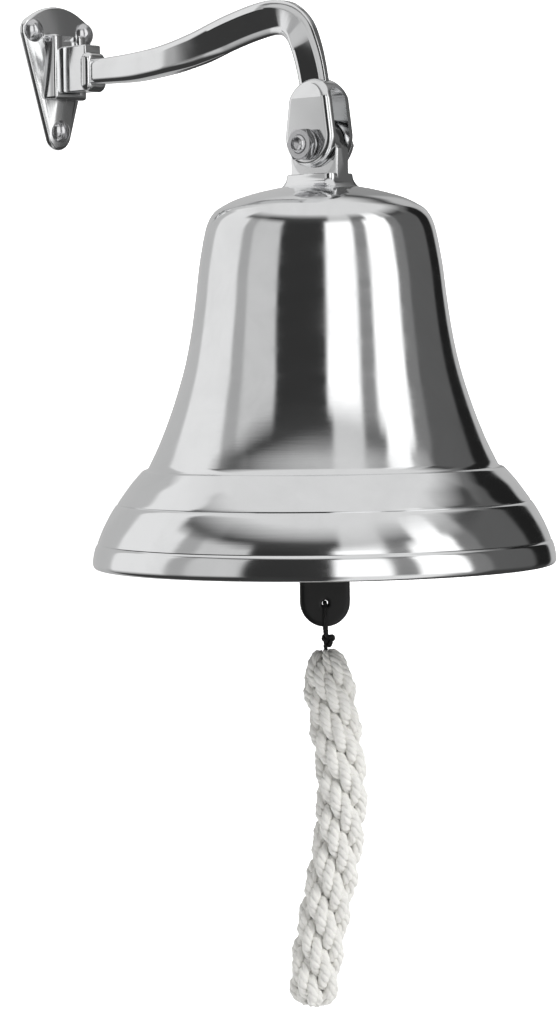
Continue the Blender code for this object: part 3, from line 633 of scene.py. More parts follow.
def blackened_iron(name, shade):
    made, tree, shader = blank(name, 0.0, Specular_IOR_Level=0.5)
    skin = use_effect(tree, "Cast skin", (-3, 0), Grain=750.0)
    handled = use_effect(tree, "Handling wear", (-3, 2), Patch=60.0, Amount=0.9)
    colours = mixed(tree, (-1, 0), shade, tint(shade, 2.6))
    rubbed = node(tree, "ShaderNodeMix", (0, 0), {7: (0.13, 0.13, 0.135, 1.0)}, data_type="RGBA")
    rough = remap(tree, (0, 2), end=(0.33, 0.62))
    bump = node(tree, "ShaderNodeBump", (1, 3), {"Strength": 0.9, "Distance": 0.00022})
    wire(tree, (skin, "Patches", colours, 0), (colours, 2, rubbed, 6),
         (handled, "Edge", rubbed, 0), (rubbed, 2, shader, "Base Color"),
         (skin, "Patches", rough, 0), (rough, 0, shader, "Roughness"),
         (skin, "Height", bump, "Height"), (bump, 0, shader, "Normal"))
    return made


def spun(name, shade, dark, fibres, depth, sheen, rough=0.85):
    """A spun yarn of cotton or polyester, with painted shade in the grooves between its fibres."""
    made, tree, shader = blank(name, 0.0, Sheen_Weight=sheen, Sheen_Roughness=0.4,
                               Specular_IOR_Level=0.25)
    fibre = use_effect(tree, "Spun fibre", (-3, 0), Fibres=fibres)
    # painted shade: the colour runs from the darker tint where the fibre bump is low to the full
    # colour where it is high
    colours = mixed(tree, (-1, 0), dark, shade)
    lift = remap(tree, (-2, 0), (0.25, 0.62))
    dull = remap(tree, (-1, 2), end=(rough - 0.12, rough))
    bump = node(tree, "ShaderNodeBump", (1, 3), {"Strength": 0.8, "Distance": depth})
    wire(tree, (fibre, "Height", lift, 0), (lift, 0, colours, 0),
         (colours, 2, shader, "Base Color"), (fibre, "Shade", dull, 0),
         (dull, 0, shader, "Roughness"), (fibre, "Height", bump, "Height"),
         (bump, 0, shader, "Normal"))
    return made


def finish(name):
    """A finish by its name, made on its first use."""
    if name in bpy.data.materials:
        return bpy.data.materials[name]
    look = settings().finish
    metal, steel = tuple(look.aluminium), tuple(look.steel)
    if name == "turned_aluminium":
        return polished(name, metal, look.polish, (1000.0, 2.5), look.wear, lathe=True)
    if name == "hand_polished_aluminium":
        return polished(name, metal, look.polish + 0.03, (420.0, 60.0, 420.0), look.wear)
    if name == "plate_aluminium":
        return polished(name, metal, look.polish + 0.04, (500.0, 90.0, 60.0), look.wear)
    if name == "plated_steel":
        return polished(name, steel, 0.16, (240.0, 240.0, 240.0), look.wear, depth=0.5)
    if name == "blackened_iron":
        return blackened_iron(name, tuple(look.iron))
    if name == "black_cord":
        # the darker of the two colours given to spun is painted shade in the grooves between the
        # fibres
        return spun(name, tint(look.cord, 1.6), tuple(look.cord), 6.0, 0.00012, 0.15, 0.6)
    return spun(name, tuple(look.cotton), tint(look.cotton, 0.60), 6.0, 0.0005, 0.15)


# ------------------------------------------------------------------ wall plate

PLATE_TOP = 33.5 * MM
ARCH_R = 30.0 * MM
EAR_CORNER_R = 6.4 * MM
TIP_R = 7.5 * MM
SCREW_SPOTS = {"wall_screw_left": (-16.0 * MM, 21.5 * MM),
               "wall_screw_right": (16.0 * MM, 21.5 * MM),
               "wall_screw_lower": (0.0, -24.8 * MM)}
PLATE_DOME = 2.5 * MM                    # how much fuller the plate is at its middle
SOCKET_LOW, SOCKET_HIGH = -10.4 * MM, 19.9 * MM
SOCKET_WIDE = 20.6 * MM
TONGUE_WIDE, NECK_WIDE = 14.4 * MM, 10.4 * MM
SOCKET_FLOOR = 2.6 * MM
LIP_THICK = 2.3 * MM


def disc_at(name, radius, x, z, sides=48):
    """A thin disc standing on the wall, for a corner of the plate."""
    fresh()
    bpy.ops.mesh.primitive_cylinder_add(vertices=sides, radius=radius, depth=1.0 * MM,
                                        location=(x, -0.5 * MM, z), rotation=(math.pi / 2, 0, 0))
    return named(name)


def make_plate():
    """The domed plate with its dovetail socket and screw holes."""
    size = settings().bracket
    thick = size.plate_thick
    corners = [disc_at("corner", EAR_CORNER_R, x, z) for x, z in list(SCREW_SPOTS.values())[:2]]
    corners.append(disc_at("tip", TIP_R, 0.0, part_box("wall_plate")[0].z + TIP_R))
    arch = disc_at("arch", ARCH_R, 0.0, PLATE_TOP - ARCH_R, 160)
    open_mesh(arch)
    choose(arch, "VERT", lambda v: abs(v.co.x) > 16.0 * MM or v.co.y < 0.0)
    bpy.ops.mesh.delete(type="VERT")
    close_mesh(arch, mend=False)
    hold(arch)
    for piece in corners:
        piece.select_set(True)
    bpy.ops.object.join()
    plate = named("wall_plate_cast")
    settle()
    open_mesh(plate)
    bpy.ops.mesh.convex_hull()
    choose(plate, "FACE", lambda f: f.normal.y < -0.99)
    side = thick - PLATE_DOME - size.plate_edge
    bpy.ops.transform.translate(value=(0.0, 1.0 * MM - side, 0.0))
    centre = (0.0, 0.0, 3.0 * MM)
    reached, scale = side, 1.0
    steps = [(1.0 - 0.055 * (1 - math.cos(a)), side + size.plate_edge * math.sin(a))
             for a in (math.pi / 8, math.pi / 4, 3 * math.pi / 8, 7 * math.pi / 16)]
    edge_share = steps[-1][0]
    for i in range(1, 11):
        s = edge_share * (1.0 - i / 10.6)
        steps.append((s, steps[3][1] + (thick - steps[3][1]) * (1 - (s / edge_share) ** 2)))
    for s, out in steps:
        pull((0, reached - out, 0))
        grow((s / scale, 1.0, s / scale), centre)
        reached, scale = out, s
    close_mesh(plate)
    face = -thick
    boss = block("boss", (-SOCKET_WIDE / 2, face - size.boss_depth, SOCKET_LOW),
                 (SOCKET_WIDE / 2, -1.6 * MM, SOCKET_HIGH), 1.5 * MM, 4)
    combine(plate, boss, "UNION")
    floor = SOCKET_LOW + SOCKET_FLOOR
    pocket = block("pocket", (-TONGUE_WIDE / 2 - FACE_GAP, face - size.boss_depth + LIP_THICK, floor),
                   (TONGUE_WIDE / 2 + FACE_GAP, face, 30 * MM), 0.0)
    combine(plate, pocket, "DIFFERENCE")
    slot = block("slot", (-NECK_WIDE / 2 - FACE_GAP, face - size.boss_depth - 2 * MM, floor),
                 (NECK_WIDE / 2 + FACE_GAP, face - 0.2 * MM, 30 * MM), 0.0)
    combine(plate, slot, "DIFFERENCE")
    for x, z in SCREW_SPOTS.values():
        combine(plate, pin("hole", 2.45 * MM, ((x, 1 * MM, z), (x, -8 * MM, z))), "DIFFERENCE")
    apply_step(plate, "BEVEL", width=0.35 * MM, segments=2, limit_method="ANGLE",
               angle_limit=math.radians(50))
    return smooth(plate, 32)


def make_screw(name, spot):
    """A slotted screw with a domed head and a cut thread."""
    head = settings().bracket.screw_head / 2
    rise = 3.0 * MM
    ball = (head ** 2 + rise ** 2) / (2 * rise)
    profile = [(0.05 * MM, rise + 0.4 * MM)]
    for i in range(1, 13):
        r = head * i / 12
        profile.append((r, rise + 0.4 * MM - (ball - math.sqrt(ball ** 2 - r ** 2))))
    profile += [(head * 0.985, 0.12 * MM), (head * 0.95, 0.0), (2.1 * MM, 0.0)]
    turns = 11
    for i in range(turns):
        top = -1.5 * MM - i * 1.45 * MM
        taper = min(1.0, (turns - i) / 4.5)
        profile += [(2.1 * MM * taper, top), (1.55 * MM * taper, top - 0.55 * MM),
                    (1.55 * MM * taper, top - 1.0 * MM)]
    profile.append((0.1 * MM, -21.0 * MM))
    screw = turned(name + "_driven", profile, 40)
    slot = block("slot", (-0.65 * MM, -head - 1 * MM, rise - 0.75 * MM),
                 (0.65 * MM, head + 1 * MM, rise + 2 * MM), 0.0)
    combine(screw, slot, "DIFFERENCE")
    lean = {"wall_screw_left": 24.0, "wall_screw_right": -38.0}.get(name, 8.0)
    place(screw, Matrix.Translation((spot[0], -2.95 * MM, spot[1]))
          @ Matrix.Rotation(math.radians(90), 4, "X") @ Matrix.Rotation(math.radians(lean), 4, "Z"))
    return smooth(screw, 35)


# ------------------------------------------------------------------ bracket arm

NECK_OUT = 25.5 * MM
COLLAR_WIDE, COLLAR_HIGH, COLLAR_THICK = 13.4 * MM, 18.4 * MM, 6.0 * MM
ARM_ROOT_Z = 1.4 * MM
BEND_R = 19.5 * MM
BEND_RISE = 17.2 * MM
EAR_OUT = 8.2 * MM
EAR_LOW = (13.8 * MM, 4.0 * MM)          # radius, and height above the pivot
EAR_HIGH = (11.8 * MM, 17.0 * MM)
SLOT_HALF = 4.3 * MM
SLOT_TOP = 24.5 * MM


def arm_line():
    """The arm's axis as points (0, y, z), from the collar over the gooseneck to the fork."""
    reach, start = -PIVOT.y, NECK_OUT + 0.6 * MM
    bend_y, bend_z = reach - BEND_R - 5.0 * MM, BEND_RISE - BEND_R
    run, rise, low = bend_y - start, BEND_RISE - ARM_ROOT_Z, ARM_ROOT_Z
    swan = [(0.0, 0.0), (0.12, 0.0), (0.25, 0.02), (0.42, 0.14), (0.60, 0.38), (0.78, 0.73),
            (0.91, 0.93)]
    points = [(0.0, -(start + run * a), low + rise * b) for a, b in swan]
    points += [(0.0, -(bend_y + BEND_R * math.sin(t)), bend_z + BEND_R * math.cos(t))
               for t in (math.radians(a) for a in (2, 26, 50, 74))]
    fork_top = PIVOT.z + EAR_HIGH[1]
    points += [(0.0, -(reach - 1.6 * MM), fork_top + 12.0 * MM), (0.0, -reach, fork_top),
               (0.0, -reach, fork_top - 6.0 * MM)]
    return even(through(points, 8), 84)


ARM_DEPTH = [(0.0, 11.6), (0.2, 13.2), (0.5, 15.4), (0.68, 15.2), (0.82, 13.6), (0.93, 12.9),
             (1.0, 13.6)]
ARM_WIDTH = [(0.0, 8.6), (0.2, 9.6), (0.5, 12.0), (0.68, 13.0), (0.93, 12.6), (1.0, 13.2)]
# widths of the arm's underside and of its top, beside its middle
ARM_KEEL = [(0.0, 1.0), (0.27, 1.0), (0.39, 0.58), (0.50, 0.24), (0.66, 0.22), (0.80, 0.9),
            (1.0, 1.0)]
ARM_CREST = [(0.0, 1.0), (0.62, 1.0), (0.76, 0.40), (0.90, 0.30), (0.97, 0.7), (1.0, 1.0)]


def pinch(piece, centre, side, factor):
    """Narrows the upper (1) or lower (-1) side of the selected ring, and keeps it selected."""
    shape = bmesh.from_edit_mesh(piece.data)
    rest = [v for v in shape.verts if v.select and (v.co.y - centre.y) * side < 0.0]
    for vertex in rest:
        vertex.select_set(False)
    shape.select_flush_mode()
    bmesh.update_edit_mesh(piece.data)
    grow((factor, 1.0, 1.0), centre)
    for vertex in rest:
        vertex.select_set(True)
    shape.select_flush(True)
    bmesh.update_edit_mesh(piece.data)


def swept(name, line, sections):
    """A bar in the plane X = 0, extruded along its axis ring by ring."""
    bar = rounded_ring(name, 1.0, 1.0, 0.26, 5)
    wide, deep, lean, keel, crest, at = 1.0, 1.0, 0.0, 1.0, 1.0, Vector()
    for i, point in enumerate(line):
        ahead = line[min(i + 1, len(line) - 1)] - line[max(i - 1, 0)]
        new_lean = math.atan2(-ahead.y, ahead.z)
        new_wide, new_deep, new_keel, new_crest = sections[i]
        if i:
            pull(point - at)
        else:
            bpy.ops.transform.translate(value=point - at)
        bpy.ops.transform.rotate(value=lean, orient_axis="X", center_override=point)
        grow((1 / wide, 1 / deep, 1.0), point)
        grow((new_wide, new_deep, 1.0), point)
        pinch(bar, point, -1, new_keel / keel)
        pinch(bar, point, 1, new_crest / crest)
        bpy.ops.transform.rotate(value=-new_lean, orient_axis="X", center_override=point)
        wide, deep, lean, at = new_wide, new_deep, new_lean, point
        keel, crest = new_keel, new_crest
    return close_mesh(bar)


def make_arm():
    """The cast arm: tongue, neck, collar, gooseneck bar and fork in one."""
    size = settings().bracket
    line = arm_line()
    last = len(line) - 1
    sections = [(read(ARM_WIDTH, i / last) * MM, read(ARM_DEPTH, i / last) * MM,
                 read(ARM_KEEL, i / last), read(ARM_CREST, i / last)) for i in range(last + 1)]
    arm = swept("bracket_arm_cast", line, sections)
    collar = rounded_ring("collar", COLLAR_WIDE, COLLAR_HIGH, 3.6 * MM, 6)
    half = COLLAR_THICK / 2
    bead = [(math.radians(a), 0.66 + 0.34 * math.cos(math.radians(a))) for a in range(-80, 81, 16)]
    was, reached = 1.0, 0.0
    for i, (lean, full) in enumerate(bead):
        step = half * math.sin(lean) - reached
        if i:
            pull((0, 0, step))
        else:
            bpy.ops.transform.translate(value=(0, 0, step))
        reached += step
        grow((full / was, full / was, 1.0), (0, 0, reached))
        was = full
    close_mesh(collar)
    place(collar, Matrix.Translation((0.0, -NECK_OUT, ARM_ROOT_Z))
          @ Matrix.Rotation(math.radians(90), 4, "X"))
    combine(arm, collar, "UNION")
    floor = SOCKET_LOW + SOCKET_FLOOR + FACE_GAP
    neck = block("neck", (-NECK_WIDE / 2, -NECK_OUT, floor),
                 (NECK_WIDE / 2, -size.plate_thick - 1.5 * MM, floor + 21.6 * MM), 0.8 * MM)
    combine(arm, neck, "UNION")
    tongue = block("tongue", (-TONGUE_WIDE / 2,
                              -size.plate_thick - size.boss_depth + LIP_THICK + FACE_GAP, floor),
                   (TONGUE_WIDE / 2, -size.plate_thick - FACE_GAP, 17.0 * MM), 0.3 * MM)
    combine(arm, tongue, "UNION")
    ears = stadium("ears", (EAR_LOW[0], PIVOT.y, PIVOT.z + EAR_LOW[1]),
                   (EAR_HIGH[0], PIVOT.y, PIVOT.z + EAR_HIGH[1]), 2 * EAR_OUT)
    shoulder = PIVOT.z + 20.5 * MM
    for side in (-1, 1):
        open_mesh(ears)
        bpy.ops.mesh.bisect(plane_co=(side * EAR_OUT, 0.0, shoulder),
                            plane_no=(side * 0.98, 0.0, 0.26), clear_outer=True, use_fill=True)
        close_mesh(ears)
    round_edges(ears, size.ear_edge, segments=7)
    combine(arm, ears, "UNION")
    far = 40 * MM
    slot = block("slot", (-SLOT_HALF, PIVOT.y - far, PIVOT.z - far),
                 (SLOT_HALF, PIVOT.y + far, PIVOT.z + SLOT_TOP), 0.0)
    round_edges(slot, SLOT_HALF * 0.96, segments=10, test=lambda e: all(
        v.co.z > PIVOT.z for v in e.verts) and abs(e.verts[0].co.y - e.verts[1].co.y) > far)
    combine(arm, slot, "DIFFERENCE")
    combine(arm, pin("bore", size.bolt / 2 + 0.35 * MM, (PIVOT - Vector((far, 0, 0)),
                                                         PIVOT + Vector((far, 0, 0))), 48),
            "DIFFERENCE")
    apply_step(arm, "BEVEL", width=0.4 * MM, segments=2, limit_method="ANGLE",
               angle_limit=math.radians(48))
    return smooth(arm, 35, True)


ALONG_BOLT = Matrix.Rotation(math.radians(-90), 4, "Y")      # +Z turned to -X, the nut's side


def hexagon(name, flats, low, high, bore):
    """A chamfered hexagon along Z with an optional bore."""
    fresh()
    corner = flats / 2 / math.cos(math.pi / 6)
    bpy.ops.mesh.primitive_cylinder_add(vertices=6, radius=corner, depth=high - low,
                                        location=(0, 0, (low + high) / 2))
    piece = named(name)
    settle()
    drop = (corner - flats / 2) * 0.62
    chamfer = turned("chamfer", [(flats * 0.485, low - 0.01 * MM), (corner * 1.01, low + drop),
                                 (corner * 1.01, high - drop), (flats * 0.485, high + 0.01 * MM)],
                     72)
    combine(piece, chamfer, "INTERSECT")
    if bore:
        combine(piece, pin("bore", bore / 2, ((0, 0, low - 2 * MM), (0, 0, high + 2 * MM)), 40),
                "DIFFERENCE")
    round_edges(piece, 0.16 * MM, segments=2, test=lambda e: sharp(e, 22))
    return piece


def washer(name, inner, outer, low, high):
    """A stamped washer with a rolled upper edge."""
    soft = 0.25 * MM
    return turned(name, [(inner, low + 0.1 * MM), (inner, high - 0.1 * MM), (inner + 0.1 * MM, high),
                         (outer - soft, high), (outer - 0.07 * MM, high - 0.07 * MM),
                         (outer, high - soft), (outer, low), (inner + 0.1 * MM, low)], 56, ring=True)


def threads(radius, low, high, pitch):
    """The profile of a cut thread, from low up to high."""
    count = max(int((high - low) / pitch), 1)
    step = (high - low) / count
    points = []
    for i in range(count):
        z = low + i * step
        points += [(radius - 0.42 * pitch, z), (radius - 0.42 * pitch, z + 0.15 * step),
                   (radius, z + 0.5 * step), (radius, z + 0.62 * step)]
    return points


def make_pivot():
    """The pivot bolt with its nut and two washers."""
    size = settings().bracket
    low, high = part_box("pivot_bolt")
    nut_low, nut_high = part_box("pivot_nut")
    near, far = PIVOT.x - low.x, high.x - PIVOT.x
    flats = min(nut_high.z - nut_low.z, nut_high.y - nut_low.y)
    seat = PIVOT.x - nut_high.x
    nut_thick = nut_high.x - nut_low.x
    head_thick = 5.0 * MM
    radius = size.bolt / 2
    profile = [(0.05 * MM, -far + 0.6 * MM), (radius, -far + 0.6 * MM)]
    profile += threads(radius, seat - 2.0 * MM, near - 0.9 * MM, 1.15 * MM)
    profile += [(radius - 0.15 * MM, near - 0.85 * MM), (radius - 0.7 * MM, near - 0.12 * MM),
                (radius - 0.9 * MM, near), (radius - 1.2 * MM, near - 0.2 * MM),
                (radius - 1.6 * MM, near - 1.1 * MM), (0.05 * MM, near - 1.9 * MM)]
    bolt = turned("pivot_bolt_threaded", profile, 48)
    combine(bolt, hexagon("head", flats, -far, -far + head_thick, 0.0), "UNION")
    nut = hexagon("pivot_nut_turned", flats, seat, seat + nut_thick, size.bolt + 0.3 * MM)
    pieces = [(bolt, "pivot_bolt", 30), (nut, "pivot_nut", 30)]
    for name in ("pivot_washer_near", "pivot_washer_far"):
        w_low, w_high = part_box(name)
        ends = sorted((PIVOT.x - w_low.x, PIVOT.x - w_high.x))
        disc = washer(name + "_stamped", radius + 0.3 * MM, (w_high.z - w_low.z) / 2, *ends)
        pieces.append((disc, name, 40))
    for piece, name, angle in pieces:
        place(piece, Matrix.Translation(PIVOT) @ ALONG_BOLT)
        smooth(piece, angle, True)
    return {name: piece for piece, name, angle in pieces}


# ------------------------------------------------------------------ bell

BELL_TALL = PIVOT.z - 17.0 * MM - MOUTH.z
LUG_RISE = 11.6 * MM                     # lug's round end above the pivot
LUG_WIDE = 27.5 * MM
BLOCK_DROP = 12.6 * MM                   # top of the crown block below the pivot
BLOCK_TOP, BLOCK_FOOT = (16.8 * MM, 27.0 * MM), (31.0 * MM, 40.0 * MM)


def bell_section():
    """The bell's wall from the crown down the outside and back up the inside, as (radius, height)."""
    size = settings().bell
    top, shoulder = BELL_TALL, size.shoulder

    def flare(at):
        return shoulder + (LIP_R - shoulder) * at

    crown = [(0.02 * shoulder, top), (0.29 * shoulder, top - 0.8 * MM),
             (0.54 * shoulder, top - 3.0 * MM), (0.78 * shoulder, top - 6.4 * MM),
             (shoulder - 5.1 * MM, top - 9.1 * MM), (shoulder - 2.0 * MM, top - 11.2 * MM),
             (shoulder + 0.3 * MM, top - 14.2 * MM), (shoulder + 1.8 * MM, top - 17.7 * MM)]
    waist = [(flare(a), top * h) for a, h in
             ((0.057, 0.864), (0.098, 0.790), (0.132, 0.700), (0.173, 0.610), (0.224, 0.530),
              (0.291, 0.455), (0.366, 0.385), (0.448, 0.320), (0.533, 0.263))]
    upper = [(flare(a), top * h) for a, h in
             ((0.546, 0.2590), (0.553, 0.2566), (0.577, 0.2552), (0.606, 0.2464), (0.672, 0.2223),
              (0.7295, 0.1976), (0.7817, 0.1741), (0.7910, 0.1693))]
    lower = [(flare(a), top * h) for a, h in
             ((0.7880, 0.1672), (0.7960, 0.1652), (0.8090, 0.1620), (0.8380, 0.1480),
              (0.8780, 0.1255), (0.9160, 0.1010), (0.9460, 0.0775), (0.9580, 0.0665))]
    rim = [(flare(a), top * h) for a, h in
           ((0.9550, 0.0642), (0.9610, 0.0620), (0.9700, 0.0590), (0.9860, 0.0440),
            (0.9975, 0.0250), (1.0000, 0.0133), (0.9955, 0.0060), (0.9850, 0.0015),
            (0.9740, 0.0002))]
    bow = size.bow_wall
    inside = [(LIP_R - size.lip_wall, 0.4 * MM), (LIP_R - size.lip_wall - 0.9 * MM, 2.2 * MM),
              (flare(0.932) - bow, 0.084 * top), (flare(0.775) - 0.9 * bow, 0.163 * top)]
    inside += [(flare(a) - size.waist_wall, top * h) for a, h in
               ((0.600, 0.235), (0.489, 0.285), (0.357, 0.390), (0.224, 0.530), (0.137, 0.690),
                (0.092, 0.800))]
    pad, inner = top - size.crown_wall, shoulder - size.waist_wall
    inside += [(inner - 0.6 * MM, pad - 9.0 * MM), (inner - 5.0 * MM, pad - 5.2 * MM),
               (0.50 * shoulder, pad - 1.6 * MM), (0.29 * shoulder, pad - 0.02 * MM),
               (0.02 * shoulder, pad)]
    section = []
    for run, pieces in ((crown + waist, 6), (upper, 4), (lower, 4), (rim, 4), (inside, 5)):
        section += [tuple(p) for p in through(run, pieces)]
    return section


def make_bell():
    """The bell with its crown block and lug, one casting."""
    size = settings().bell
    bell = turned("bell_cast", bell_section(), size.sides)
    top, foot = PIVOT.z - BLOCK_DROP - MOUTH.z, BELL_TALL - 4.6 * MM
    crown = rounded_ring("crown_block", *BLOCK_TOP, 3.2 * MM, 6)
    bpy.ops.transform.translate(value=(0, 0, top))
    (wide, deep), at = BLOCK_TOP, top
    for i in range(1, 15):
        t = i / 14
        flared = t ** 2.5
        new_wide = BLOCK_TOP[0] + (BLOCK_FOOT[0] - BLOCK_TOP[0]) * flared
        new_deep = BLOCK_TOP[1] + (BLOCK_FOOT[1] - BLOCK_TOP[1]) * flared
        step = top + (foot - top) * t - at
        at += step
        pull((0, 0, step))
        grow((new_wide / wide, new_deep / deep, 1.0), (0, 0, at))
        wide, deep = new_wide, new_deep
    close_mesh(crown)
    round_edges(crown, 0.7 * MM, test=lambda e: all(v.co.z > top - 1e-5 for v in e.verts))
    combine(bell, crown, "UNION")
    lift = PIVOT.z - MOUTH.z
    lug = stadium("lug", (LUG_WIDE / 2, 0.0, lift - 2.0 * MM), (LUG_RISE, 0.0, lift),
                  size.lug_thick)
    round_edges(lug, 0.9 * MM)
    root = block("lug_root", (-size.lug_thick / 2, -LUG_WIDE / 2, top - 4 * MM),
                 (size.lug_thick / 2, LUG_WIDE / 2, lift - 2.0 * MM), 0.0)
    round_edges(root, 0.9 * MM, test=lambda e: abs(e.verts[0].co.z - e.verts[1].co.z) > 5 * MM)
    combine(lug, root, "UNION")
    combine(bell, lug, "UNION")
    combine(bell, pin("bore", size.bore / 2, ((-20 * MM, 0, lift), (20 * MM, 0, lift)), 48),
            "DIFFERENCE")
    place(bell, Matrix.Translation(MOUTH))
    return smooth(bell, 26)


# ------------------------------------------------------------------ clapper and its hanger

EYE_R, EYE_BAR = 7.5 * MM, 2.25 * MM
LINK_BAR = 1.9 * MM
LINK_R = EYE_BAR + LINK_BAR + FACE_GAP
HANG = Vector(JOINTS["link_swing"]["pos_m"])
LOW_BAR = Vector(JOINTS["clapper_swing"]["pos_m"])
TAIL_HOLE = Vector(JOINTS["tie_swing"]["pos_m"])
FACE = Matrix.Rotation(TAIL_TURN, 4, "Z")
BALL_UP = 22.0 * MM
TAIL_HOLE_R = 1.45 * MM
TAIL_HOLE_UP = 10.4 * MM


def round_bar(name, centre, radius, bar, along_y=True):
    """A ring of round bar standing upright, in the XZ plane or else in the YZ plane."""
    fresh()
    turn = (math.pi / 2, 0, 0) if along_y else (0, math.pi / 2, 0)
    bpy.ops.mesh.primitive_torus_add(location=centre, rotation=turn, major_segments=64,
                                     minor_segments=20, major_radius=radius, minor_radius=bar)
    piece = named(name)
    settle()
    return piece


def make_hanger():
    """The eye bolt up in the crown, with its washer and lock nut."""
    ring_up = HANG.z - MOUTH.z + EYE_R
    eye = round_bar("clapper_eye_bolt_forged", (0, 0, ring_up), EYE_R, EYE_BAR)
    low = ring_up + EYE_R - 0.6 * EYE_BAR
    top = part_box("clapper_eye_bolt")[1].z - MOUTH.z
    profile = [(3.6 * MM, low - 0.8 * MM), (3.3 * MM, low + 0.6 * MM), (2.7 * MM, low + 1.4 * MM)]
    profile += threads(3.0 * MM, low + 1.6 * MM, top - 0.8 * MM, 1.0 * MM)
    profile += [(2.4 * MM, top - 0.3 * MM), (2.0 * MM, top)]
    combine(eye, turned("shank", profile, 32), "UNION")
    pieces = {"clapper_eye_bolt": eye}
    w_low, w_high = (p.z - MOUTH.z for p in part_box("crown_washer"))
    outer = (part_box("crown_washer")[1].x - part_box("crown_washer")[0].x) / 2
    pieces["crown_washer"] = washer("crown_washer_stamped", 3.3 * MM, outer, w_low, w_high)
    n_low, n_high = (p.z - MOUTH.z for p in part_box("crown_lock_nut"))
    pieces["crown_lock_nut"] = hexagon("crown_lock_nut_turned", 10.8 * MM, n_low, n_high, 6.5 * MM)
    for piece in pieces.values():
        place(piece, Matrix.Translation(MOUTH) @ FACE)
        smooth(piece, 32)
    return pieces


def make_link():
    """An oval link of bent bar, welded on one side."""
    link = round_bar("clapper_link_bent", (0, 0, 0), LINK_R, LINK_BAR, along_y=False)
    open_mesh(link)
    choose(link, "VERT", lambda v: v.co.z < -1e-5)
    bpy.ops.transform.translate(value=(0, 0, LOW_BAR.z + LINK_R - HANG.z))
    close_mesh(link, mend=False)
    weld = turned("weld", [(LINK_BAR, -1.1 * MM), (LINK_BAR * 1.1, -0.6 * MM),
                           (LINK_BAR * 1.16, 0.0), (LINK_BAR * 1.1, 0.6 * MM),
                           (LINK_BAR, 1.1 * MM)], 24)
    middle = (LOW_BAR.z + LINK_R - HANG.z) / 2
    place(weld, Matrix.Translation((0, LINK_R, middle)))
    combine(link, weld, "UNION")
    place(link, Matrix.Translation(HANG) @ FACE)
    return smooth(link, 50)


def make_clapper():
    """The clapper: an eye, a tapered shank, a ball and a flat tail with a hole, cast in iron."""
    size = settings().clapper
    ball, up = size.ball, LOW_BAR.z - MOUTH.z
    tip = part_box("clapper")[0].z - MOUTH.z
    top = up - LINK_R
    profile = [(0.3 * MM, top + 0.6 * MM), (3.4 * MM, top), (4.1 * MM, top - 2.2 * MM),
               (4.2 * MM, top - 9 * MM), (4.9 * MM, top - 30 * MM), (5.9 * MM, BALL_UP + 24 * MM)]
    start = math.asin(6.4 * MM / ball)
    for i in range(19):
        turn = start + (math.pi * 0.93 - start) * i / 18
        profile.append((ball * math.sin(turn), BALL_UP + ball * math.cos(turn)))
    clapper = turned("clapper_cast", profile, 64)
    combine(clapper, round_bar("eye", (0, 0, up), LINK_R, EYE_BAR), "UNION")
    half = size.tail_wide / 2
    tail = stadium("tail", (half, 0.0, tip + half), (half, 0.0, BALL_UP - 5 * MM), size.tail_thick)
    round_edges(tail, 1.3 * MM, segments=3)
    place(tail, Matrix.Rotation(math.pi / 2, 4, "Z"))
    combine(clapper, tail, "UNION")
    hole = tip + TAIL_HOLE_UP
    combine(clapper, pin("hole", TAIL_HOLE_R, ((0, -20 * MM, hole), (0, 20 * MM, hole)), 40),
            "DIFFERENCE")
    apply_step(clapper, "REMESH", mode="VOXEL", voxel_size=size.skin)
    apply_step(clapper, "SMOOTH", factor=0.5, iterations=3)
    place(clapper, Matrix.Translation(MOUTH) @ FACE)
    return smooth(clapper, 180)


# ------------------------------------------------------------------ cords

def on_tail(across, out, height):
    """A point from across the tail, out from its face, and above the mouth."""
    return MOUTH + FACE @ Vector((across, -out, height))


ACROSS = FACE @ Vector((1.0, 0.0, 0.0))
OUTWARD = FACE @ Vector((0.0, -1.0, 0.0))
TAIL_TIP = TAIL_HOLE.z - MOUTH.z - TAIL_HOLE_UP
TIE_JOIN = TAIL_TIP - 5.4 * MM
TIE_END = TAIL_TIP + TAIL_HOLE_UP - 20.4 * MM


def tie_line():
    """The tie cord's route: up the front of the tail, through its hole, down the back."""
    hole, join = TAIL_TIP + TAIL_HOLE_UP, TIE_JOIN
    off = 3.5 * MM + 1.0 * MM + settings().rope_work.tie / 2
    route = [(0.4 * MM, 1.4 * MM, join + 0.8 * MM), (0.3 * MM, 3.4 * MM, join + 3.6 * MM),
             (0.0, off, join + 8.0 * MM), (0.0, off - 1.0 * MM, hole - 1.2 * MM),
             (0.0, 1.8 * MM, hole), (0.0, -1.8 * MM, hole),
             (0.0, -off + 1.0 * MM, hole - 1.2 * MM), (0.0, -off, join + 8.0 * MM),
             (0.0, -off + 1.6 * MM, join + 3.9 * MM), (0.3 * MM, -1.7 * MM, join + 1.0 * MM),
             (0.3 * MM, -0.6 * MM, join - 0.6 * MM), (0.0, 0.0, join - 2.2 * MM),
             (0.0, 0.0, TIE_END + 0.6 * MM), (0.0, 0.0, TIE_END - 1.0 * MM)]
    return even(through([on_tail(*p) for p in route], 10), 150)


TIE_STRANDS, TIE_LAY = 3, 5.2 * MM
KNOT_SIZE = 0.80 * MM
ROPE_FULL = 0.985                        # how much of its diameter the laid rope fills
ROPE_PLIES, PLY_LAY = 3, 17.5 * MM
YARN_PARTS, YARN_LAY = 3, 7.5 * MM
ROPE_TAPER = (13.0 * MM, 9.0 * MM)       # rounding at its head and at its end
CORE_R = 4.6 * MM
FIBRE_RADII = np.array([0.045, 0.04, 0.032, 0.012]) * MM

ROPE_BOW = [(0.00, 0.000), (0.10, 0.010), (0.22, 0.026), (0.38, 0.042), (0.55, 0.028),
            (0.72, -0.006), (0.86, -0.032), (1.00, -0.050)]


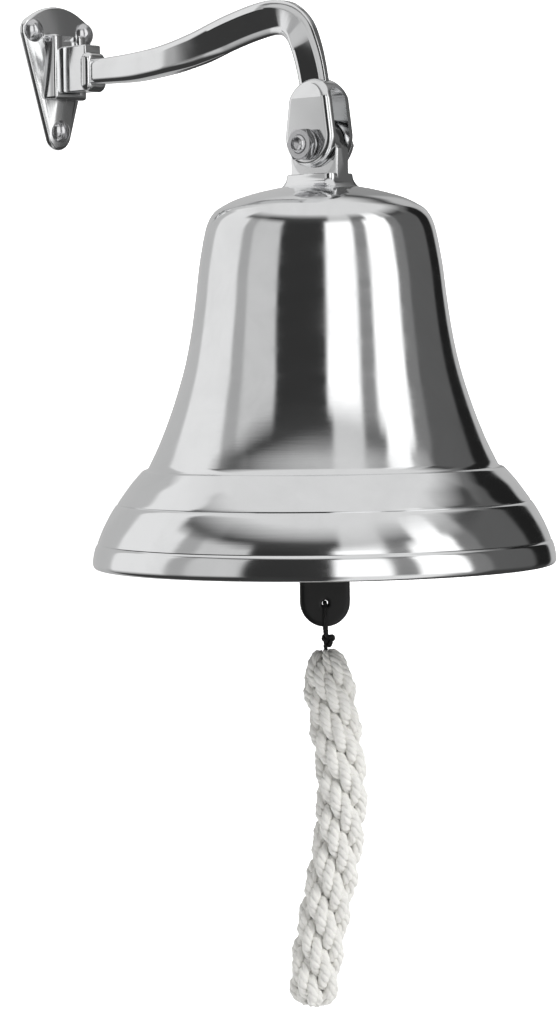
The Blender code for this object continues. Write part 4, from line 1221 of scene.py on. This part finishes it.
def rope_line():
    """The rope's axis, bowed across the way the tail looks."""
    long, head = settings().rope_work.rope_long, TIE_END - 1.5 * MM
    return even(through([on_tail(bow * long, 0.0, head - down * long) for down, bow in ROPE_BOW],
                        12), 240)


def unit(ways):
    return ways / np.linalg.norm(ways, axis=1, keepdims=True)


def tube(points, facing, radius, sides):
    """The rings of a round yarn along points, with facing giving where its seam looks."""
    along = unit(np.gradient(points, axis=0))
    out = unit(facing - (facing * along).sum(1, keepdims=True) * along)
    side = np.cross(along, out)
    turns = np.linspace(0, 2 * math.pi, sides, endpoint=False)
    return (points[:, None, :] + radius[:, None, None]
            * (np.cos(turns)[None, :, None] * out[:, None, :]
               + np.sin(turns)[None, :, None] * side[:, None, :]))


def laid_yarns(line, facing, radius, strands, lay, plies, ply_lay, taper, hand):
    """The yarns of a laid rope: plies twisted into strands, and strands round the rope."""
    points = rows(line)
    reach = travel(points)
    total = reach[-1]
    ends = [np.clip(d / max(t, 1e-9), 0.0, 1.0) for d, t in
            ((reach, taper[0]), (total - reach, taper[1]))]
    full = np.minimum(*[np.sqrt(1.0 - (1.0 - e) ** 2) for e in ends])
    along = unit(np.gradient(points, axis=0))
    face = np.array(list(facing))
    north = unit(face - (along * face).sum(1, keepdims=True) * along)
    east = np.cross(along, north)
    spread = math.sin(math.pi / strands) if strands > 1 else 0.0
    centre = radius / (1 + spread) if strands > 1 else 0.0
    strand = radius - centre
    fit = math.sin(math.pi / plies) if plies > 1 else 1.0
    offset = strand / (1 + fit) if plies > 1 else 0.0
    yarn = strand - offset
    yarns = []
    for i in range(strands):
        turn = hand * 2 * math.pi * (reach / lay + i / strands)
        out = np.cos(turn)[:, None] * north + np.sin(turn)[:, None] * east
        middle = points + out * (centre * (0.16 + 0.84 * full))[:, None]
        way = unit(np.gradient(middle, axis=0))
        out = unit(out - (out * way).sum(1, keepdims=True) * way)
        beside = np.cross(way, out)
        for j in range(plies):
            twist = -hand * 2 * math.pi * (reach / ply_lay + j / plies)
            lean = np.cos(twist)[:, None] * out + np.sin(twist)[:, None] * beside
            yarns.append((middle + lean * (offset * (0.3 + 0.7 * full))[:, None], lean,
                          yarn * 1.06 * (0.35 + 0.65 * full)))
    return yarns


def split_yarns(yarns, parts, lay, hand):
    """The same yarns, each twisted from a few finer ones that wander and swell a little."""
    chance = np.random.default_rng(5)
    finer = []
    for path, facing, thick in yarns:
        reach = travel(path)
        beside = np.cross(unit(np.gradient(path, axis=0)), facing)
        for part in range(parts):
            drift = [np.convolve(chance.normal(size=len(path) + 8), np.ones(5) / 5,
                                 mode="same")[4:-4] for _ in range(2)]
            turn = hand * 2 * math.pi * (reach / lay + part / parts) + 0.25 * drift[0]
            lean = np.cos(turn)[:, None] * facing + np.sin(turn)[:, None] * beside
            finer.append((path + lean * (thick * (0.50 + 0.08 * drift[1]))[:, None], lean,
                          thick * (0.60 + 0.07 * drift[0])))
    return finer


def yarn_mesh(name, yarns, sides, fibres=0, fibre_long=2.0 * MM):
    """One mesh of closed yarns with a map along each, and loose fibres that stand off them."""
    points, faces, maps = [], [], []
    shell = []
    for path, facing, thick in yarns:
        rings = tube(path, facing, thick, sides)
        count, start = len(path), len(points)
        steps = travel(path)
        v = steps / (2 * math.pi * thick.max())
        points.extend(rings.reshape(-1, 3).tolist())
        shell.append((rings, path))
        for i in range(count - 1):
            for k in range(sides):
                m = (k + 1) % sides
                a, b = start + i * sides, start + (i + 1) * sides
                faces.append((a + k, a + m, b + m, b + k))
                maps.append(((k / sides, v[i]), ((k + 1) / sides, v[i]),
                             ((k + 1) / sides, v[i + 1]), (k / sides, v[i + 1])))
        for i, order in ((0, 1), (count - 1, -1)):
            ring = [start + i * sides + k for k in range(sides)][::-order]
            faces.append(tuple(ring))
            maps.append(tuple((k / sides, v[i]) for k in range(sides)))
    chance = random.Random(11)
    for _ in range(fibres):
        rings, path = shell[chance.randrange(len(shell))]
        i, k = chance.randrange(2, len(path) - 2), chance.randrange(sides)
        root = rings[i, k]
        out = unit((root - path[i])[None])[0]
        along = unit((path[i + 1] - path[i - 1])[None])[0] * chance.choice((-1, 1))
        lean = np.array([chance.uniform(-1, 1) for _ in range(3)])
        long = fibre_long * chance.uniform(0.4, 1.0)
        rise, drift = chance.uniform(0.25, 0.75), chance.uniform(0.5, 1.1)
        curve = [root + long * (out * (rise * t - 0.35 * t * t) + along * drift * t
                                + lean * 0.25 * t * t) for t in (0.0, 0.35, 0.7, 1.0)]
        rings3 = tube(np.array(curve), np.repeat((lean + out * 0.1)[None], 4, axis=0), FIBRE_RADII, 3)
        start = len(points)
        points.extend(rings3.reshape(-1, 3).tolist())
        for i in range(3):
            for k in range(3):
                m = (k + 1) % 3
                a, b = start + i * 3, start + (i + 1) * 3
                faces.append((a + k, a + m, b + m, b + k))
                maps.append(((0.1, i), (0.2, i), (0.2, i + 1), (0.1, i + 1)))
        faces.append((start, start + 2, start + 1))
        faces.append((start + 9, start + 10, start + 11))
        maps += [((0.1, 0.0),) * 3] * 2
    mesh = bpy.data.meshes.new(name)
    mesh.from_pydata(points, [], faces)
    layer = mesh.uv_layers.new(name="Yarn")
    layer.data.foreach_set("uv", [c for face in maps for uv in face for c in uv])
    mesh.update()
    piece = bpy.data.objects.new(name, mesh)
    bpy.context.collection.objects.link(piece)
    mesh.shade_smooth()
    return piece


def make_tie():
    """The black cord through the tail, of three twisted plies, and its knot."""
    work = settings().rope_work
    yarns = laid_yarns(tie_line(), ACROSS, work.tie / 2, TIE_STRANDS, TIE_LAY, 1, 1.0,
                       (0.6 * MM, 0.6 * MM), 1)
    cord = yarn_mesh("tie_cord_laid", yarns, 8)
    centre = on_tail(1.3 * MM, 0.2 * MM, TIE_JOIN - 0.5 * MM)
    turns = np.linspace(0.0, 2 * math.pi, 121)
    size = KNOT_SIZE
    loop = [centre + Vector(ACROSS) * float(size * (math.sin(t) + 2 * math.sin(2 * t)))
            + Vector((0, 0, 1)) * float(size * 1.05 * (math.cos(t) - 2 * math.cos(2 * t)))
            - Vector(OUTWARD) * float(1.35 * size * math.sin(3 * t)) for t in turns]
    yarns = laid_yarns(loop, OUTWARD, work.tie / 2, TIE_STRANDS, TIE_LAY, 1, 1.0,
                       (0.2 * MM, 0.2 * MM), 1)
    knot = yarn_mesh("tie_cord_knot", yarns, 8)
    return cord, knot


def make_rope():
    """The white rope, of laid strands that are each twisted from three soft yarns."""
    work = settings().rope_work
    yarns = laid_yarns(rope_line(), OUTWARD, work.rope / 2 * ROPE_FULL, work.strands, work.lay,
                       ROPE_PLIES, PLY_LAY, ROPE_TAPER, -1)
    yarns = split_yarns(yarns, YARN_PARTS, YARN_LAY, -1)
    core = rows(rope_line())[12:-10]
    fill = np.minimum(1.0, np.minimum(np.arange(len(core)), np.arange(len(core))[::-1]) / 8 + 0.3)
    yarns.append((core, np.repeat(np.array(list(OUTWARD))[None], len(core), axis=0),
                  fill * CORE_R))
    return yarn_mesh("bell_rope_laid", yarns, 7, work.fibres)


# ------------------------------------------------------------------ stage

# brightness of the surroundings by the way they lie from the bell: degrees round from the
# viewer, to the right of the view
LEVEL_BANDS = [(-180, 0.52), (-131, 0.85), (-86, 0.42), (-73, 0.62), (-42, 0.035), (4, 1.30),
               (33, 0.26), (47, 1.35), (76, 0.21), (90, 0.11), (127, 0.015), (150, 0.50),
               (170, 0.30)]
HIGH_BANDS = [(-180, 0.60), (-140, 0.85), (-96, 0.12), (-64, 0.05), (8, 0.62), (34, 0.16),
              (53, 1.30), (72, 0.45), (88, 0.07), (116, 0.16), (150, 0.06)]
LOW_BANDS = [(-180, 0.45), (-135, 0.045), (-20, 0.04), (8, 0.85), (66, 0.30), (84, 0.05)]
CEILING = 0.77

CAMERA_RIGHT, CAMERA_BACK, CAMERA_Z = 0.1061, 1.4646, -0.1254
CAMERA_TILT, CAMERA_ROLL = math.radians(3.02), math.radians(-0.75)
CAMERA_PAN = 0.0022
CAMERA_LENS = 109.96                     # in mm, on a sensor 36 mm wide
FILL_SHARE = 0.06                        # the fill light's power beside the key's


def bands(tree, spot, steps, blur):
    """A ramp of brightness with soft borders between its steps."""
    ramp = node(tree, "ShaderNodeValToRGB", spot)
    stops = ramp.color_ramp.elements
    while len(stops) > 1:
        stops.remove(stops[-1])
    stops[0].position, stops[0].color = 0.0, (steps[0][1],) * 3 + (1.0,)
    for (_, before), (start, after) in zip(steps, steps[1:]):
        for shift, value in ((-blur, before), (blur, after)):
            stop = stops.new((start + shift + 180) / 360)
            stop.color = (value,) * 3 + (1.0,)
    return ramp


def surroundings():
    """A studio of tall light and dark panels, plain white to the camera."""
    world = bpy.data.worlds.new("Studio")
    bpy.context.scene.world = world
    world.use_nodes = True
    tree = world.node_tree
    light, end = tree.nodes["Background"], tree.nodes["World Output"]
    way = node(tree, "ShaderNodeTexCoord", (-6, 0))
    right = node(tree, "ShaderNodeVectorMath", (-5, -1), {1: tuple(SIDE)}, operation="DOT_PRODUCT")
    back = node(tree, "ShaderNodeVectorMath", (-5, 0), {1: tuple(BACK)}, operation="DOT_PRODUCT")
    turn = maths(tree, (-4, 0), "ARCTAN2")
    part = maths(tree, (-3, 0), "MULTIPLY_ADD", {1: 0.5 / math.pi, 2: 0.5})
    level = bands(tree, (-2, 0), LEVEL_BANDS, 1.6)
    high = bands(tree, (-2, 1), HIGH_BANDS, 1.6)
    low = bands(tree, (-2, 2), LOW_BANDS, 6.0)
    height = node(tree, "ShaderNodeSeparateXYZ", (-5, 2))
    rise = remap(tree, (-3, 3), (0.56, 0.64))
    up = remap(tree, (-3, 4), (0.66, 0.82))
    walls = node(tree, "ShaderNodeMix", (-1, 0), data_type="RGBA")
    down = remap(tree, (-3, 6), (-0.08, -0.32))
    ceiling = node(tree, "ShaderNodeMix", (0, 0), {7: (CEILING,) * 3 + (1.0,)}, data_type="RGBA")
    floor = node(tree, "ShaderNodeMix", (1, 0), data_type="RGBA")
    seen = node(tree, "ShaderNodeLightPath", (1, 3))
    sunny = remap(tree, (-3, 8), (-0.3, 1.0), (0.02, 0.55))
    soft = node(tree, "ShaderNodeMix", (1.5, 4), data_type="RGBA")
    shown = node(tree, "ShaderNodeMix", (2, 0), {7: (1.0, 1.0, 1.0, 1.0)}, data_type="RGBA")
    wire(tree, (way, "Generated", right, 0), (way, "Generated", back, 0), (right, 1, turn, 0),
         (back, 1, turn, 1), (turn, 0, part, 0), (part, 0, level, 0), (part, 0, low, 0),
         (part, 0, high, 0), (height, "Z", rise, 0), (rise, 0, walls, 0), (level, 0, walls, 6),
         (high, 0, walls, 7), (way, "Generated", height, 0), (height, "Z", up, 0),
         (height, "Z", down, 0), (up, 0, ceiling, 0), (walls, 2, ceiling, 6), (down, 0, floor, 0),
         (ceiling, 2, floor, 6),
         (low, 0, floor, 7), (seen, "Is Camera Ray", shown, 0), (right, 1, sunny, 0),
         (seen, "Is Diffuse Ray", soft, 0), (floor, 2, soft, 6), (sunny, 0, soft, 7),
         (soft, 2, shown, 6),
         (shown, 2, light, "Color"), (light, 0, end, 0))
    light.inputs["Strength"].default_value = settings().stage.brightness


def pale(name, glow, behind=False):
    """A pale matt surface, clear from behind where asked."""
    made, tree, shader = blank(name, 0.0, Roughness=0.95, Specular_IOR_Level=0.1)
    cloud = node(tree, "ShaderNodeTexCoord", (-3, 0))
    soft = noise(tree, (-2, 0), 2.0, scale=2.0)
    shade = mixed(tree, (0, 0), (0.86, 0.86, 0.86), (0.90, 0.90, 0.90))
    seen = node(tree, "ShaderNodeLightPath", (0, 3))
    bright = remap(tree, (1, 3), end=(0.12, glow))
    wire(tree, (seen, "Is Camera Ray", bright, 0), (bright, 0, shader, "Emission Strength"),
         (cloud, "Object", soft, "Vector"), (soft, 0, shade, 0),
         (shade, 2, shader, "Base Color"), (shade, 2, shader, "Emission Color"))
    if behind:
        facing = node(tree, "ShaderNodeNewGeometry", (3, 2))
        clear = node(tree, "ShaderNodeBsdfTransparent", (5, 2))
        either = node(tree, "ShaderNodeMixShader", (6, 0))
        wire(tree, (facing, "Backfacing", either, 0), (shader, 0, either, 1), (clear, 0, either, 2),
             (either, 0, tree.nodes["Material Output"], 0))
    return made


def soft_light(name, spot, size, power):
    fresh()
    bpy.ops.object.light_add(type="AREA", location=spot)
    lamp = bpy.context.object
    lamp.name = name
    lamp.data.shape = "DISK"
    lamp.data.size = size
    lamp.data.energy = power
    lamp.rotation_euler = (PIVOT - Vector((0, 0, 0.12)) - Vector(spot)).to_track_quat(
        "-Z", "Y").to_euler()
    lamp.visible_glossy = False
    lamp.visible_camera = False


def make_stage():
    """The floor, the wall, the light and the camera."""
    look = settings().stage
    surroundings()
    bpy.context.scene.view_settings.view_transform = "Standard"
    for name, size, spot, turn, glow, clear in (
            ("floor", 14.0, (0, 0, -look.floor_drop), (0, 0, 0), 0.85, False),
            ("wall", 14.0, (0, 0.0004, -look.floor_drop + 7.0), (math.pi / 2, 0, 0), 0.85, True)):
        fresh()
        bpy.ops.mesh.primitive_plane_add(size=size, location=spot, rotation=turn)
        sheet = named("stage_" + name)
        settle()
        sheet.data.materials.append(pale("pale_" + name, glow, clear))
        sheet.visible_glossy = False
    soft_light("key", PIVOT + SIDE * 1.1 + BACK * 1.0 + Vector((0, 0, 0.7)), 0.9, look.key_light)
    soft_light("fill", PIVOT - SIDE * 0.9 + BACK * 1.2 + Vector((0, 0, 0.5)), 1.2,
               look.key_light * FILL_SHARE)
    fresh()
    at = SIDE * CAMERA_RIGHT + BACK * CAMERA_BACK
    aim = -BACK * math.cos(CAMERA_TILT) - SIDE * CAMERA_PAN - Vector((0, 0, math.sin(CAMERA_TILT)))
    turn = aim.to_track_quat("-Z", "Y").to_matrix() @ Matrix.Rotation(CAMERA_ROLL, 3, "Z")
    bpy.ops.object.camera_add(location=(at.x, at.y, CAMERA_Z), rotation=turn.to_euler())
    camera = bpy.context.object
    camera.name = "camera"
    camera.data.lens = CAMERA_LENS
    camera.data.sensor_width = 36.0
    camera.data.clip_start, camera.data.clip_end = 0.01, 60.0
    bpy.context.scene.camera = camera


# ------------------------------------------------------------------ operators

class SHIPBELL_OT_stage(bpy.types.Operator):
    """Sets the floor, the wall, the light and the camera"""

    bl_idname = "shipbell.stage"
    bl_label = "Set the stage"

    def execute(self, context):
        make_stage()
        return {"FINISHED"}


class SHIPBELL_OT_cords(bpy.types.Operator):
    """Makes the black tie cord with its knot, and the white bell rope"""

    bl_idname = "shipbell.cords"
    bl_label = "Tie cord and rope"

    def execute(self, context):
        cord, knot = make_tie()
        deliver(cord, "tie", ["tie_cord"], "black_cord")
        deliver(knot, "tie", ["tie_cord"], "black_cord")
        rope = make_rope()
        deliver(rope, "rope", ["bell_rope"], "white_cotton")
        return {"FINISHED"}


class SHIPBELL_OT_plate(bpy.types.Operator):
    """Makes the wall plate with its socket"""

    bl_idname = "shipbell.plate"
    bl_label = "Wall plate"

    def execute(self, context):
        deliver(make_plate(), "wall", ["wall_plate"], "plate_aluminium")
        return {"FINISHED"}


class SHIPBELL_OT_screws(bpy.types.Operator):
    """Makes the three wall screws"""

    bl_idname = "shipbell.screws"
    bl_label = "Wall screws"

    def execute(self, context):
        for name, spot in SCREW_SPOTS.items():
            deliver(make_screw(name, spot), "wall", [name], "plated_steel")
        return {"FINISHED"}


class SHIPBELL_OT_arm(bpy.types.Operator):
    """Makes the bracket arm with its fork"""

    bl_idname = "shipbell.arm"
    bl_label = "Bracket arm"

    def execute(self, context):
        deliver(make_arm(), "arm", ["bracket_arm"],
                "hand_polished_aluminium")
        return {"FINISHED"}


class SHIPBELL_OT_pivot(bpy.types.Operator):
    """Makes the pivot bolt, its nut and its washers"""

    bl_idname = "shipbell.pivot"
    bl_label = "Pivot bolt"

    def execute(self, context):
        for name, piece in make_pivot().items():
            deliver(piece, "arm", [name], "plated_steel")
        return {"FINISHED"}


class SHIPBELL_OT_bell(bpy.types.Operator):
    """Makes the bell with its crown block and lug"""

    bl_idname = "shipbell.bell"
    bl_label = "Bell"

    def execute(self, context):
        deliver(make_bell(), "bell", ["bell"], "turned_aluminium")
        return {"FINISHED"}


class SHIPBELL_OT_hanger(bpy.types.Operator):
    """Makes the eye bolt in the crown, its washer and lock nut, and the link"""

    bl_idname = "shipbell.hanger"
    bl_label = "Clapper hanger"

    def execute(self, context):
        for name, piece in make_hanger().items():
            deliver(piece, "bell", [name], "plated_steel")
        deliver(make_link(), "link", ["clapper_link"], "plated_steel")
        return {"FINISHED"}


class SHIPBELL_OT_clapper(bpy.types.Operator):
    """Makes the iron clapper"""

    bl_idname = "shipbell.clapper"
    bl_label = "Clapper"

    def execute(self, context):
        deliver(make_clapper(), "clapper", ["clapper"], "blackened_iron")
        return {"FINISHED"}


class SHIPBELL_PT_pieces(bpy.types.Panel):
    """Lists the pieces of the ship bell"""

    bl_idname = "SHIPBELL_PT_pieces"
    bl_label = "Ship Bell"
    bl_space_type = "VIEW_3D"
    bl_region_type = "UI"
    bl_category = "Ship Bell"

    def draw(self, context):
        for step in STEPS:
            self.layout.operator(step.bl_idname)
        for group in (settings().bell, settings().bracket, settings().clapper,
                      settings().rope_work, settings().finish, settings().stage):
            box = self.layout.box()
            for name in group.__annotations__:
                box.prop(group, name)


class ShipBellSettings(bpy.types.PropertyGroup):
    """Everything about the ship bell that a user can change"""

    bell: bpy.props.PointerProperty(type=BellSettings)
    bracket: bpy.props.PointerProperty(type=BracketSettings)
    clapper: bpy.props.PointerProperty(type=ClapperSettings)
    rope_work: bpy.props.PointerProperty(type=RopeSettings)
    finish: bpy.props.PointerProperty(type=FinishSettings)
    stage: bpy.props.PointerProperty(type=StageSettings)


STEPS = (SHIPBELL_OT_stage, SHIPBELL_OT_cords, SHIPBELL_OT_plate, SHIPBELL_OT_screws,
         SHIPBELL_OT_arm, SHIPBELL_OT_pivot, SHIPBELL_OT_bell, SHIPBELL_OT_hanger,
         SHIPBELL_OT_clapper)
GROUPS = (BellSettings, BracketSettings, ClapperSettings, RopeSettings, FinishSettings,
          StageSettings, ShipBellSettings)


def register():
    for kind in GROUPS + STEPS + (SHIPBELL_PT_pieces,):
        bpy.utils.register_class(kind)
    bpy.types.Scene.ship_bell = bpy.props.PointerProperty(type=ShipBellSettings)


def unregister():
    del bpy.types.Scene.ship_bell
    for kind in reversed(GROUPS + STEPS + (SHIPBELL_PT_pieces,)):
        bpy.utils.unregister_class(kind)


def main():
    register()
    for step in STEPS:
        name = step.bl_idname.split(".")[1]
        if getattr(bpy.ops.shipbell, name)() != {"FINISHED"}:
            raise RuntimeError(name + " was not finished")


if __name__ == "__main__":
    main()
